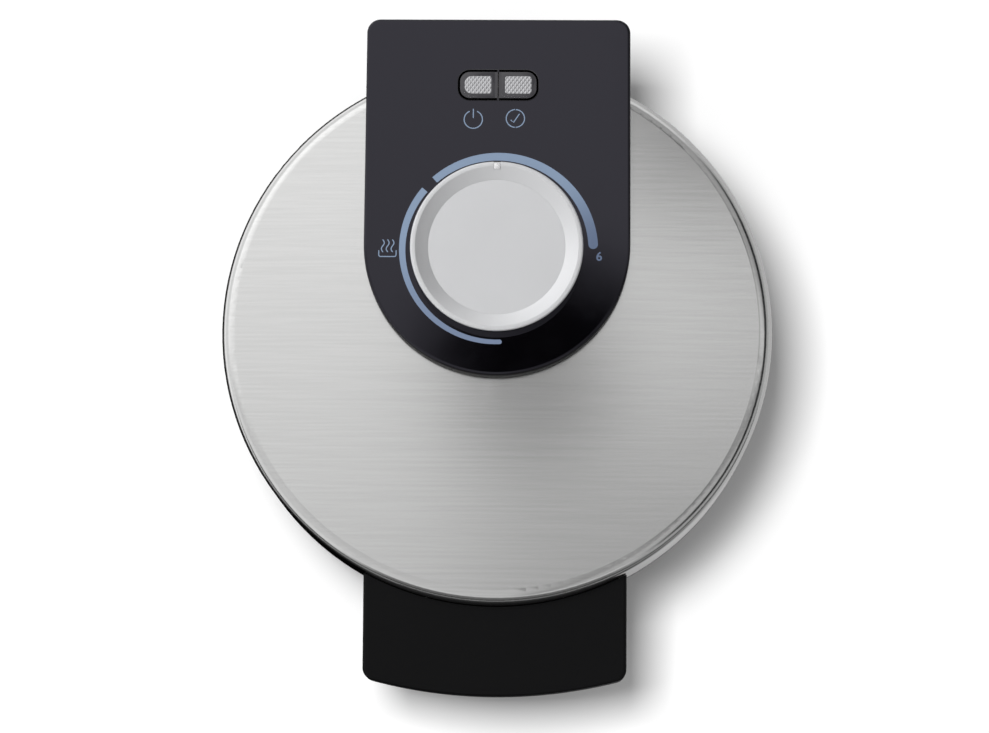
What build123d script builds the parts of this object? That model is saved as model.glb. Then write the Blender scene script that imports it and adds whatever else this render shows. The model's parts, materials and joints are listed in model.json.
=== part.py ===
from build123d import *
import os
from math import atan2, cos, degrees, hypot, radians, sin, sqrt, tan

# Round Belgian waffle maker: a black base, a brushed steel lid on a rear hinge,
# a tongue-shaped control panel with one large dial, and a flat front handle.
# Millimetres, +X right, +Y towards the hinge, +Z up. The origin is on the table
# in the middle of the footprint. Plan sizes are measured from the axis of the
# round body, which lies body_y behind the origin.

# Footprint
lid_radius = 120.0
base_inset = 1.5
base_flare = 8.5
handle_overhang = 38.4
hinge_overhang = 16.4

# Heights
foot_height = 4.0
base_height = 46.0
collar_height = 5.0
seam_gap = 1.0
frame_lip = 3.6
lid_height = 37.0
shoulder_radius = 6.3
crown_rise = 2.0
panel_rise = 6.4

# Walls and clearances
shell_wall = 2.6
cover_wall = 2.6
skin_wall = 0.8
pan_wall = 0.6
fit_gap = 0.3
cut_margin = 1.0
slide_gap = 0.15
pin_gap = 0.05

# Waffle plates
cup_depth = 12.0
cup_draft = 12.0
plate_floor = 3.0
plate_gap = 0.3
peg_height = 9.6
peg_size = 12.4
peg_pitch = 18.6
peg_first = 13.2
peg_draft = 7.0
peg_margin = 5.0
ridge_width = 3.6
land_width = 3.0
moat_width = 4.0
moat_depth = 4.5
moat_slope = 0.8
flange_width = 4.9
flange_depth = 8.0

# Heating elements and their reflector pans
element_radius = 3.3
element_inset = 22.0
element_leg_x = 14.0
element_bend = 12.0
element_leg_end = 8.0
element_cheek = 2.4
cheek_height = 4.2
pin_radius = 1.5
pin_length = 11.0
post_radius = 4.5
post_inset = 12.0
pan_margin = 5.6
pan_rim = 7.0
pan_drop = 8.6

# Ring and shelf round each plate
frame_wall = 5.1
shelf_thickness = 3.0
shelf_width = 7.8

# Hexagon-head screws
head_radius = 2.8
head_height = 1.8
shank_radius = 1.4
hole_radius = 1.55
screw_bite = 5.0
boss_radius = 4.0

# Bottom cover and feet
cover_boss_height = 16.0
boss_rib = 9.0
boss_rib_width = 2.0
cover_pad = 2.0
cover_margin = 1.0
vent_ring = 52.0
vent_count = 8
vent_length = 24.0
vent_width = 4.0
foot_radius = 8.0
foot_bevel = 0.8
foot_stem_radius = 2.6
foot_head_radius = 4.2
foot_head_height = 1.8
foot_head_taper = 20.0
front_foot_inset = 12.35
rear_foot_inset = 12.0
rear_foot_setback = 13.4

# Control panel and its housing
panel_half_width = 57.9
panel_arc_y = 35.4
panel_thickness = 3.0
panel_corner = 6.0
least_corner = 0.8
panel_edge = 1.2
housing_step = 0.4
skin_overlap = 8.0
flange_inset = 7.2
rib_depth = 1.5
hood_length = 38.4
hood_rise = 8.0
housing_screw_bite = 1.5

# Hinge
hinge_setback = 7.0
barrel_radius = 6.0
hinge_pin_radius = 2.5
pin_inner_x = 12.0
pin_recess = 1.0
knuckle_inner_x = 22.4
knuckle_width = 15.2
knuckle_gap = 0.4
block_clearance = 0.9
block_corner = 5.0
notch_clearance = 2.2
web_front = 6.0
web_back = 2.0
bracket_thickness = 3.0

# Handle
handle_half_width = 57.0
handle_front_bow = 214.0
handle_corner = 5.3
handle_edge = 1.6
handle_wall = 2.6
handle_top_root = 24.0
handle_top_tip = 19.5
handle_under_root = 7.0
handle_under_tip = 9.5
handle_cover_depth = 4.4
handle_screw_angle = 14.5
handle_screw_height = 14.0
handle_boss_length = 14.0
grip_screw_inset = 21.0
grip_screw_setback = 16.4
grip_seat_wall = 1.6

# Rest under the handle, on the base
rest_setback = 9.0
rest_inset = 2.0
rest_top_root = 2.0
rest_top_tip = 9.0
rest_under_root = 19.0
rest_under_tip = 15.0
rest_screw_drop = 14.0
rest_rib_x = 19.0
rest_rib_width = 2.0

# Dial
dial_y = 32.6
dial_radius = 37.4
dial_flare = 1.2
dial_bevel = 7.7
dial_rim_width = 2.1
dial_edge = 0.5
dial_height = 7.6
dial_dish = 2.4
dial_lift = 0.6
dial_wall = 1.8
cap_thickness = 1.0
notch_width = 3.1
marker_length = 2.5
notch_depth = 1.2
marker_thickness = 0.8
shaft_radius = 3.0
shaft_flat = 1.0
shaft_engagement = 4.0
hub_radius = 6.0
neck_radius = 4.6

# Thermostat and its sensor
thermostat_length = 34.0
thermostat_width = 28.0
thermostat_height = 12.0
thermostat_corner = 3.0
thermostat_plate_thickness = 1.0
thermostat_plate_length = 54.0
thermostat_plate_width = 14.0
thermostat_plate_corner = 2.0
thermostat_screw_x = 22.0
blade_width = 6.3
blade_thickness = 0.8
blade_length = 8.0
capillary_radius = 1.0
capillary_drop = 6.0
capillary_bend = 4.0
sensor_hole_radius = 4.0
bulb_radius = 2.2
bulb_length = 30.0
bulb_x = 30.0
fuse_radius = 2.2
fuse_length = 14.0
fuse_y = -30.0
clip_wall = 0.8
clip_width = 6.0
clip_foot = 7.0

# Indicator windows
window_setback = 30.0
window_width = 35.8
window_height = 14.2
window_corner = 5.5
window_stand = 0.8
window_bevel = 0.5
window_lip = 1.2
window_split = 0.3
skirt_depth = 5.0
diffuser_width = 11.6
diffuser_height = 7.8
diffuser_corner = 1.0
diffuser_x = 8.8
diffuser_thickness = 1.6
diffuser_sink = 0.3
holder_wall = 1.2
holder_depth = 9.0
lamp_radius = 2.2
lamp_bevel = 0.8
lamp_height = 5.0

# Cord gland and terminal block at the back of the hinge block
gland_z = 20.0
gland_bore = 3.8
gland_neck = 6.0
gland_flange = 9.0
gland_inner_flange = 8.0
gland_flange_depth = 2.0
cable_hole_width = 18.0
cable_hole_height = 12.0
block_screw_angle = 9.0
block_screw_z = 32.0
terminal_gap = 1.8
terminal_length = 24.0
terminal_width = 11.0
terminal_height = 10.0
terminal_count = 3
terminal_wall = 1.2

# Footprint worked out from the sizes above
base_radius = lid_radius - base_inset
base_foot_radius = base_radius - base_flare
handle_reach = lid_radius + handle_overhang
hinge_reach = lid_radius + hinge_overhang
body_y = (handle_reach - hinge_reach) / 2

# Levels worked out from the sizes above
base_floor_z = foot_height
base_top_z = base_floor_z + base_height
collar_z = base_top_z - collar_height
parting_z = base_top_z + seam_gap / 2
lid_bottom_z = base_top_z + seam_gap
skirt_bottom_z = lid_bottom_z + frame_lip + slide_gap
crown_z = lid_bottom_z + lid_height + crown_rise
panel_top_z = crown_z + panel_rise
panel_under_z = panel_top_z - panel_thickness
hinge_y = hinge_reach - hinge_setback
hinge_z = lid_bottom_z
rim_z = parting_z - plate_gap / 2
cup_floor_z = rim_z - cup_depth
plate_back_z = cup_floor_z - plate_floor
flange_under_z = rim_z - flange_depth
shelf_top_z = flange_under_z - slide_gap
shelf_under_z = shelf_top_z - shelf_thickness
pan_floor_z = plate_back_z - pan_drop
element_z = plate_back_z - element_radius - pin_gap
lid_shelf_under_z = 2 * parting_z - shelf_top_z
lid_shelf_top_z = lid_shelf_under_z + shelf_thickness
upper_back_z = 2 * parting_z - plate_back_z
dial_z = panel_top_z + dial_lift

# Radii and outlines worked out from the sizes above
frame_radius = lid_radius - skin_wall - fit_gap
frame_inner_radius = frame_radius - frame_wall
shelf_inner_radius = frame_inner_radius - shelf_width
flange_radius = frame_inner_radius - fit_gap
moat_outer = flange_radius - flange_width
moat_inner = moat_outer - moat_width
waffle_radius = moat_inner - land_width
cup_floor_radius = waffle_radius - cup_depth * tan(radians(cup_draft))
pan_radius = waffle_radius - pan_margin
post_ring = pan_radius - post_inset
element_ring = post_ring - element_inset
element_reach = pan_radius - element_leg_end
plate_screw_ring = (moat_outer + flange_radius) / 2
bracket_screw_ring = (frame_inner_radius + frame_radius) / 2
cover_radius = base_foot_radius - shell_wall - fit_gap
cover_screw_ring = cover_radius - boss_radius - cover_margin
flare_radius = (
    (collar_z - base_floor_z) ** 2 + (base_radius - base_foot_radius) ** 2
) / (2 * (base_radius - base_foot_radius))
crown_radius = (lid_radius**2 + crown_rise**2) / (2 * crown_rise)
housing_half_width = panel_half_width - housing_step
block_back_y = hinge_y + barrel_radius
notch_floor_z = hinge_z - barrel_radius - notch_clearance
block_half_width = housing_half_width - shell_wall - block_clearance
block_front_y = sqrt(base_foot_radius**2 - block_half_width**2) - block_corner
knuckle_x = knuckle_inner_x + knuckle_width / 2
rear_foot_x = block_half_width - rear_foot_inset
rear_foot_y = block_back_y - rear_foot_setback
hood_front_y = hinge_reach - hood_length
window_y = hinge_reach - window_setback
dial_cap_radius = dial_radius - dial_bevel
notch_outer = dial_radius - dial_flare
notch_inner = notch_outer - marker_length
handle_root_y = -sqrt(lid_radius**2 - handle_half_width**2)

# Screw places
plate_screw_angles = (30, 150, 270)
cover_screw_angles = (60, 120, 200, 340)
post_angles = (45, 135, 225, 315)
bracket_screw_angles = (68, 84, 96, 112)

round_plane = Plane(origin=(0, body_y, 0))
round_profile = Plane(origin=(0, body_y, 0), x_dir=(1, 0, 0), z_dir=(0, -1, 0))
round_axis = Axis((0, body_y, 0), (0, 0, 1))
dial_plane = Plane(origin=(0, body_y + dial_y, 0))
dial_profile = Plane(origin=(0, body_y + dial_y, 0), x_dir=(1, 0, 0), z_dir=(0, -1, 0))
dial_axis = Axis((0, body_y + dial_y, 0), (0, 0, 1))
side_plane = Plane(origin=(0, body_y, 0), x_dir=(0, 1, 0), z_dir=(1, 0, 0))
parting_plane = Plane(origin=(0, body_y, parting_z))


def polar(radius, angle):
    """Point at an angle, in degrees, round the body axis."""
    return (radius * cos(radians(angle)), radius * sin(radians(angle)))


def ring_points(radius, angles):
    """Points at several angles round the body axis."""
    return [polar(radius, angle) for angle in angles]


def radial_plane(radius, angle, height):
    """Plane on a radius of the body, facing the body axis."""
    x, y = polar(1, angle)
    return Plane(
        origin=(radius * x, body_y + radius * y, height),
        x_dir=(-y, x, 0),
        z_dir=(-x, -y, 0),
    )


def wall_radius(height):
    """Outer radius of the flared base wall at a height."""
    return base_radius - flare_radius + sqrt(flare_radius**2 - (collar_z - height) ** 2)


def crown_height(radius, inset):
    """Height of the lid's domed top at a radius, or of a surface set in from it."""
    return crown_z - crown_radius + sqrt((crown_radius - inset) ** 2 - radius**2)


def base_section(gap):
    """Half section of everything inside the base wall, grown by a gap."""
    middle_z = (base_floor_z + collar_z) / 2
    with BuildSketch(mode=Mode.PRIVATE) as made:
        with BuildLine():
            ThreePointArc(
                (base_foot_radius + gap, base_floor_z),
                (wall_radius(middle_z) + gap, middle_z),
                (base_radius + gap, collar_z),
            )
            Polyline(
                (base_radius + gap, collar_z),
                (base_radius + gap, lid_bottom_z),
                (0, lid_bottom_z),
                (0, 0),
                (base_foot_radius + gap, 0),
                (base_foot_radius + gap, base_floor_z),
            )
        make_face()
    return made.sketch


def dome_section(inset, bottom_z):
    """Half section of the lid dome down to a level, set in from its outside."""
    edge = lid_radius - inset
    with BuildSketch(mode=Mode.PRIVATE) as made:
        with BuildLine():
            Polyline(
                (0, crown_height(0, inset)),
                (0, bottom_z),
                (edge, bottom_z),
                (edge, crown_height(edge, inset)),
            )
            ThreePointArc(
                (edge, crown_height(edge, inset)),
                (edge / 2, crown_height(edge / 2, inset)),
                (0, crown_height(0, inset)),
            )
        make_face()
        corner = made.vertices().sort_by(Axis.X)[-2:].sort_by(Axis.Y)[-1]
        fillet(corner, radius=shoulder_radius - inset)
    return made.sketch


def tongue_outline(inset):
    """Panel outline: straight sides, a half-round front and a square back."""
    half_width = panel_half_width - inset
    back_y = hinge_reach - inset
    with BuildSketch(mode=Mode.PRIVATE) as made:
        with BuildLine():
            Polyline(
                (-half_width, panel_arc_y),
                (-half_width, back_y),
                (half_width, back_y),
                (half_width, panel_arc_y),
            )
            ThreePointArc(
                (half_width, panel_arc_y),
                (0, panel_arc_y - half_width),
                (-half_width, panel_arc_y),
            )
        make_face()
        fillet(made.vertices().group_by(Axis.Y)[-1], radius=max(panel_corner - inset, least_corner))
    return made.sketch


def handle_outline(half_width, reach, corner):
    """Handle in plan: a square back, a bowed front edge and round front corners."""
    side_y = handle_front_bow - sqrt(handle_front_bow**2 - half_width**2) - reach
    with BuildSketch(mode=Mode.PRIVATE) as made:
        with BuildLine():
            Polyline(
                (-half_width, side_y),
                (-half_width, 0),
                (half_width, 0),
                (half_width, side_y),
            )
            ThreePointArc((half_width, side_y), (0, -reach), (-half_width, side_y))
        make_face()
        fillet(made.vertices().group_by(Axis.Y)[0], radius=corner)
    return made.sketch


def handle_slab(inset, upper, lower):
    """Handle form between two slopes, each a pair of heights at its root and tip."""
    with BuildPart(mode=Mode.PRIVATE) as made:
        with BuildSketch(side_plane):
            with BuildLine():
                Polyline(
                    (-handle_reach, lower[1]),
                    (handle_root_y, lower[0]),
                    (handle_root_y, upper[0]),
                    (-handle_reach, upper[1]),
                    close=True,
                )
            make_face()
        extrude(amount=handle_half_width, both=True)
        with BuildSketch(round_plane.offset(lid_bottom_z)):
            add(
                handle_outline(
                    handle_half_width - inset, handle_reach - inset, handle_corner - inset
                )
            )
            Circle(lid_radius + fit_gap + inset, mode=Mode.SUBTRACT)
        extrude(amount=lid_height, mode=Mode.INTERSECT)
    return made.part


def screw_set(seats, shank_length):
    """Hexagon screws. Each seat lies under the head and faces away from the shank."""
    with BuildPart(mode=Mode.PRIVATE) as made:
        for seat in seats:
            with BuildSketch(seat):
                RegularPolygon(head_radius, 6)
            extrude(amount=head_height)
            with BuildSketch(seat):
                RegularPolygon(shank_radius, 6)
            extrude(amount=-shank_length)
    return made.part


def down_seats(points, height):
    """Seats for screws driven up from below, at points round the body axis."""
    return [Plane(origin=(x, body_y + y, height), z_dir=(0, 0, -1)) for x, y in points]


def up_seats(points, height):
    """Seats for screws driven down from above, at points round the body axis."""
    return [Plane(origin=(x, body_y + y, height)) for x, y in points]


def clip_strap(x, y, core_radius, along_x):
    """Bent steel strap that holds a small cylinder down on the upper plate's back."""
    core_z = upper_back_z + slide_gap + core_radius
    inner = core_radius + slide_gap
    if along_x:
        place = Plane(origin=(x, body_y + y, 0), x_dir=(0, 1, 0), z_dir=(1, 0, 0))
    else:
        place = Plane(origin=(x, body_y + y, 0), x_dir=(-1, 0, 0), z_dir=(0, 1, 0))
    with BuildPart(mode=Mode.PRIVATE) as made:
        with BuildSketch(place):
            with Locations((0, core_z)):
                Circle(inner + clip_wall)
            with Locations((0, (core_z + upper_back_z) / 2)):
                Rectangle(2 * (inner + clip_wall), core_z - upper_back_z)
            with Locations(((inner + clip_foot) / 2, upper_back_z + clip_wall / 2)):
                Rectangle(inner + clip_foot, clip_wall)
            with Locations((0, core_z)):
                Circle(inner, mode=Mode.SUBTRACT)
            with Locations((0, (core_z + upper_back_z) / 2)):
                Rectangle(2 * inner, core_z - upper_back_z, mode=Mode.SUBTRACT)
            with Locations((0, upper_back_z - inner)):
                Rectangle(4 * inner, 2 * inner, mode=Mode.SUBTRACT)
        extrude(amount=clip_width / 2, both=True)
    return made.part


def finish(name, made):
    """Labels one sub-part and writes it to its own file."""
    made.part.label = name
    export_step(made.part, f"parts/{name}.step")


os.makedirs("parts", exist_ok=True)

# Base housing: a flared round shell with a collar and shelf for the lower
# plate, and ribbed bosses for the bottom cover.
boss_bottom_z = base_floor_z + cover_wall + cover_pad + slide_gap
rest_screw_z = base_top_z - rest_screw_drop
cable_hole_plane = radial_plane(wall_radius(gland_z) + shell_wall, 90, gland_z)

with BuildPart() as base_housing:
    with BuildSketch(round_plane.offset(boss_bottom_z)):
        for boss_angle in cover_screw_angles:
            with Locations(polar(cover_screw_ring, boss_angle)):
                Circle(boss_radius)
            with Locations(polar(cover_screw_ring + boss_rib / 2, boss_angle)):
                Rectangle(boss_rib, boss_rib_width, rotation=boss_angle)
    extrude(amount=cover_boss_height)
    with BuildSketch(round_profile):
        add(base_section(-shell_wall / 2))
    revolve(axis=round_axis, mode=Mode.INTERSECT)
    with BuildSketch(round_profile):
        add(base_section(0))
        with Locations((0, base_floor_z / 2)):
            Rectangle(3 * lid_radius, base_floor_z, mode=Mode.SUBTRACT)
        with Locations((0, (base_top_z + lid_bottom_z) / 2)):
            Rectangle(3 * lid_radius, seam_gap, mode=Mode.SUBTRACT)
        with Locations((0, (shelf_top_z + base_top_z) / 2)):
            Rectangle(2 * frame_inner_radius, base_top_z - shelf_top_z, mode=Mode.SUBTRACT)
        with Locations((0, (shelf_under_z + base_top_z) / 2)):
            Rectangle(2 * shelf_inner_radius, base_top_z - shelf_under_z, mode=Mode.SUBTRACT)
        with BuildSketch(mode=Mode.PRIVATE) as hollow:
            add(base_section(-shell_wall))
            with Locations((0, shelf_under_z + base_height / 2)):
                Rectangle(3 * lid_radius, base_height, mode=Mode.SUBTRACT)
        add(hollow.sketch, mode=Mode.SUBTRACT)
    revolve(axis=round_axis)
    with BuildSketch(round_plane.offset(boss_bottom_z)):
        with Locations(ring_points(cover_screw_ring, cover_screw_angles)):
            Circle(hole_radius)
    extrude(amount=screw_bite + fit_gap, mode=Mode.SUBTRACT)
    with BuildSketch(round_plane.offset(shelf_under_z)):
        with Locations(ring_points(plate_screw_ring, plate_screw_angles)):
            Circle(hole_radius)
    extrude(amount=shelf_thickness, mode=Mode.SUBTRACT)
    with BuildSketch(cable_hole_plane):
        Rectangle(cable_hole_width, cable_hole_height)
    extrude(amount=3 * shell_wall, mode=Mode.SUBTRACT)
    for side in (-1, 1):
        with BuildSketch(radial_plane(base_radius, 90 + side * block_screw_angle, block_screw_z)):
            Circle(hole_radius)
        extrude(amount=3 * shell_wall, mode=Mode.SUBTRACT)
        with BuildSketch(radial_plane(base_radius, 270 + side * handle_screw_angle, rest_screw_z)):
            Circle(hole_radius)
        extrude(amount=3 * shell_wall, mode=Mode.SUBTRACT)
finish("base_housing", base_housing)

# Hinge block: the hollow rear moulding that carries the hinge knuckles, the
# rear feet and the cord gland.
radial_hole_depth = base_radius - base_foot_radius + screw_bite + fit_gap
block_boss_reach = (block_back_y - shell_wall / 2) / cos(radians(block_screw_angle))

with BuildPart() as hinge_block:
    with BuildSketch(side_plane):
        with Locations(((block_front_y + hinge_y) / 2, (base_floor_z + base_top_z) / 2)):
            Rectangle(hinge_y - block_front_y, base_height)
        with Locations(((hinge_y + block_back_y) / 2, (base_floor_z + hinge_z) / 2)):
            Rectangle(barrel_radius, hinge_z - base_floor_z)
        with Locations((hinge_y, hinge_z)):
            Circle(barrel_radius)
    extrude(amount=block_half_width, both=True)
    with BuildSketch(round_plane.offset(base_floor_z)):
        with Locations((0, block_back_y / 2)):
            outline = Rectangle(2 * block_half_width, block_back_y)
        fillet(outline.vertices().group_by(Axis.Y)[-1], radius=block_corner)
    extrude(amount=2 * base_height, mode=Mode.INTERSECT)
    with BuildSketch(round_plane.offset(base_floor_z + shell_wall)):
        with Locations((0, (block_back_y - shell_wall) / 2)):
            outline = Rectangle(2 * (block_half_width - shell_wall), block_back_y - shell_wall)
        fillet(outline.vertices().group_by(Axis.Y)[-1], radius=block_corner - shell_wall)
    extrude(amount=notch_floor_z - base_floor_z - 2 * shell_wall, mode=Mode.SUBTRACT)
    for side in (-1, 1):
        with BuildSketch(
            radial_plane(block_boss_reach, 90 + side * block_screw_angle, block_screw_z)
        ):
            Circle(boss_radius)
        extrude(amount=block_boss_reach - base_foot_radius)
    with BuildSketch(round_profile):
        add(base_section(fit_gap))
    revolve(axis=round_axis, mode=Mode.SUBTRACT)
    for side in (-1, 1):
        with BuildSketch(
            radial_plane(base_foot_radius, 90 + side * block_screw_angle, block_screw_z)
        ):
            Circle(hole_radius)
        extrude(amount=-radial_hole_depth, mode=Mode.SUBTRACT)
        with BuildSketch(round_plane.offset(notch_floor_z)):
            with Locations((side * knuckle_x, hinge_y + barrel_radius)):
                Rectangle(
                    knuckle_width + 2 * knuckle_gap, 2 * (2 * barrel_radius + knuckle_gap)
                )
        extrude(amount=base_height, mode=Mode.SUBTRACT)
        with BuildSketch(side_plane.offset(side * pin_inner_x)):
            with Locations((hinge_y, hinge_z)):
                Circle(hinge_pin_radius + pin_gap)
        extrude(amount=side * block_half_width, mode=Mode.SUBTRACT)
    with BuildSketch(round_plane.offset(base_floor_z)):
        with Locations((-rear_foot_x, rear_foot_y), (rear_foot_x, rear_foot_y)):
            Circle(foot_stem_radius + slide_gap)
    extrude(amount=shell_wall, mode=Mode.SUBTRACT)
    with BuildSketch(radial_plane(block_back_y, 90, gland_z)):
        Circle(gland_neck + pin_gap)
    extrude(amount=shell_wall, mode=Mode.SUBTRACT)
finish("hinge_block", hinge_block)

# Hinge pins, one through each lid knuckle, let into the block from outside
with BuildPart() as hinge_pins:
    for side in (-1, 1):
        with BuildSketch(side_plane.offset(side * (pin_inner_x + pin_gap))):
            with Locations((hinge_y, hinge_z)):
                Circle(hinge_pin_radius)
        extrude(amount=side * (block_half_width - pin_inner_x - pin_gap - pin_recess))
finish("hinge_pins", hinge_pins)

block_screw_seats = [
    radial_plane(wall_radius(block_screw_z) - shell_wall - 2 * fit_gap, angle, block_screw_z)
    for angle in (90 - block_screw_angle, 90 + block_screw_angle)
]
with BuildPart() as hinge_block_screws:
    add(screw_set(block_screw_seats, shell_wall + 2 * fit_gap + screw_bite))
finish("hinge_block_screws", hinge_block_screws)

# Rest: the shallow open-bottomed ledge on the base that sits under the handle
rest_half_width = handle_half_width - rest_inset
rest_reach = handle_reach - rest_setback
rest_upper = (base_top_z - rest_top_root, base_top_z - rest_top_tip)
rest_lower = (base_top_z - rest_under_root, base_top_z - rest_under_tip)

with BuildPart() as handle_rest:
    with BuildSketch(side_plane):
        with BuildLine():
            Polyline(
                (-rest_reach, rest_lower[1]),
                (handle_root_y, rest_lower[0]),
                (handle_root_y, rest_upper[0]),
                (-rest_reach, rest_upper[1]),
                close=True,
            )
        make_face()
    extrude(amount=rest_half_width, both=True)
    with BuildSketch(round_plane):
        add(handle_outline(rest_half_width, rest_reach, handle_corner))
    extrude(amount=base_top_z, mode=Mode.INTERSECT)
    with BuildSketch(side_plane):
        with BuildLine():
            Polyline(
                (-rest_reach, 0),
                (handle_root_y, 0),
                (handle_root_y, rest_upper[0] - handle_wall),
                (-rest_reach, rest_upper[1] - handle_wall),
                close=True,
            )
        make_face()
    pocket = extrude(amount=rest_half_width, both=True, mode=Mode.PRIVATE)
    with BuildSketch(round_plane) as pocket_plan:
        add(
            handle_outline(
                rest_half_width - handle_wall,
                rest_reach - handle_wall,
                handle_corner - handle_wall,
            )
        )
        Circle(base_radius + fit_gap + handle_wall, mode=Mode.SUBTRACT)
        for rib_x in (-rest_rib_x, rest_rib_x):
            with Locations((rib_x, -rest_reach)):
                Rectangle(rest_rib_width, rest_reach, mode=Mode.SUBTRACT)
    pocket_column = extrude(amount=base_top_z, mode=Mode.PRIVATE)
    add(pocket & pocket_column, mode=Mode.SUBTRACT)
    for side in (-1, 1):
        with BuildSketch(
            radial_plane(base_radius + handle_boss_length, 270 + side * handle_screw_angle,
                         rest_screw_z)
        ):
            Circle(boss_radius)
        extrude(amount=handle_boss_length)
    with BuildSketch(round_profile):
        add(base_section(fit_gap))
    revolve(axis=round_axis, mode=Mode.SUBTRACT)
    for side in (-1, 1):
        with BuildSketch(
            radial_plane(base_foot_radius, 270 + side * handle_screw_angle, rest_screw_z)
        ):
            Circle(hole_radius)
        extrude(amount=-radial_hole_depth, mode=Mode.SUBTRACT)
finish("handle_rest", handle_rest)

rest_screw_seats = [
    radial_plane(wall_radius(rest_screw_z) - shell_wall - fit_gap, angle, rest_screw_z)
    for angle in (270 - handle_screw_angle, 270 + handle_screw_angle)
]
with BuildPart() as handle_rest_screws:
    add(screw_set(rest_screw_seats, shell_wall + 2 * fit_gap + screw_bite))
finish("handle_rest_screws", handle_rest_screws)

# Bottom cover: a vented disc with a raised pad at each recessed screw
cover_pad_z = base_floor_z + cover_wall + cover_pad
cover_screw_points = ring_points(cover_screw_ring, cover_screw_angles)
front_foot_points = ring_points(cover_radius - front_foot_inset, (225, 315))
rear_foot_points = [(-rear_foot_x, rear_foot_y), (rear_foot_x, rear_foot_y)]
screw_seat_z = base_floor_z + head_height + slide_gap

with BuildPart() as bottom_cover:
    with BuildSketch(round_plane.offset(base_floor_z)):
        Circle(cover_radius)
        with PolarLocations(vent_ring, vent_count):
            SlotOverall(vent_length, vent_width, mode=Mode.SUBTRACT)
        with Locations(front_foot_points):
            Circle(foot_stem_radius + slide_gap, mode=Mode.SUBTRACT)
    extrude(amount=cover_wall)
    with BuildSketch(round_plane.offset(base_floor_z)):
        with Locations(cover_screw_points):
            Circle(boss_radius)
    extrude(amount=cover_pad_z - base_floor_z)
    with BuildSketch(round_plane.offset(base_floor_z)):
        with Locations(cover_screw_points):
            Circle(head_radius + slide_gap)
    extrude(amount=screw_seat_z - base_floor_z, mode=Mode.SUBTRACT)
    with BuildSketch(round_plane.offset(screw_seat_z)):
        with Locations(cover_screw_points):
            Circle(hole_radius)
    extrude(amount=cover_pad_z - screw_seat_z, mode=Mode.SUBTRACT)
finish("bottom_cover", bottom_cover)

with BuildPart() as cover_screws:
    add(
        screw_set(
            down_seats(cover_screw_points, screw_seat_z),
            boss_bottom_z - screw_seat_z + screw_bite,
        )
    )
finish("cover_screws", cover_screws)

# Rubber feet: pads with a stem and a head that snaps through the floor
with BuildPart() as rubber_feet:
    for foot_x, foot_y in front_foot_points + rear_foot_points:
        foot_plane = Plane(origin=(foot_x, body_y + foot_y, 0))
        with BuildSketch(foot_plane):
            Circle(foot_radius)
        extrude(amount=foot_height)
        with BuildSketch(foot_plane.offset(foot_height)):
            Circle(foot_stem_radius)
        extrude(amount=cover_wall)
        with BuildSketch(foot_plane.offset(foot_height + cover_wall)):
            Circle(foot_head_radius)
        extrude(amount=foot_head_height, taper=foot_head_taper)
    rims = rubber_feet.edges().filter_by(GeomType.CIRCLE).group_by(Axis.Z)[0]
    chamfer(rims, length=foot_bevel)
finish("rubber_feet", rubber_feet)

# Lower grid plate: a deep round cup with square pegs, a cross that quarters
# the waffle, an overflow moat, and a groove and posts on its back.
peg_base = peg_size + 2 * peg_height * tan(radians(peg_draft))
ridge_base = ridge_width + 2 * peg_height * tan(radians(peg_draft))
field_radius = cup_floor_radius - peg_margin
back_radius = cup_floor_radius + plate_floor * (1 - tan(radians(cup_draft)))
step_radius = back_radius + (flange_under_z - plate_back_z) * tan(radians(cup_draft))
cheek_middle = element_radius + fit_gap + element_cheek / 2
bend_x = element_leg_x + element_bend
bend_y = sqrt((element_ring + element_bend) ** 2 - bend_x**2)
bend_angle = degrees(atan2(bend_y, bend_x))
peg_rows = int(field_radius / peg_pitch) + 1
peg_places = [peg_first + row * peg_pitch for row in range(peg_rows)]
pegs = [
    (side_x * x, side_y * y)
    for side_x in (-1, 1)
    for side_y in (-1, 1)
    for x in peg_places
    for y in peg_places
    if hypot(x, y) < field_radius
]

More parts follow.
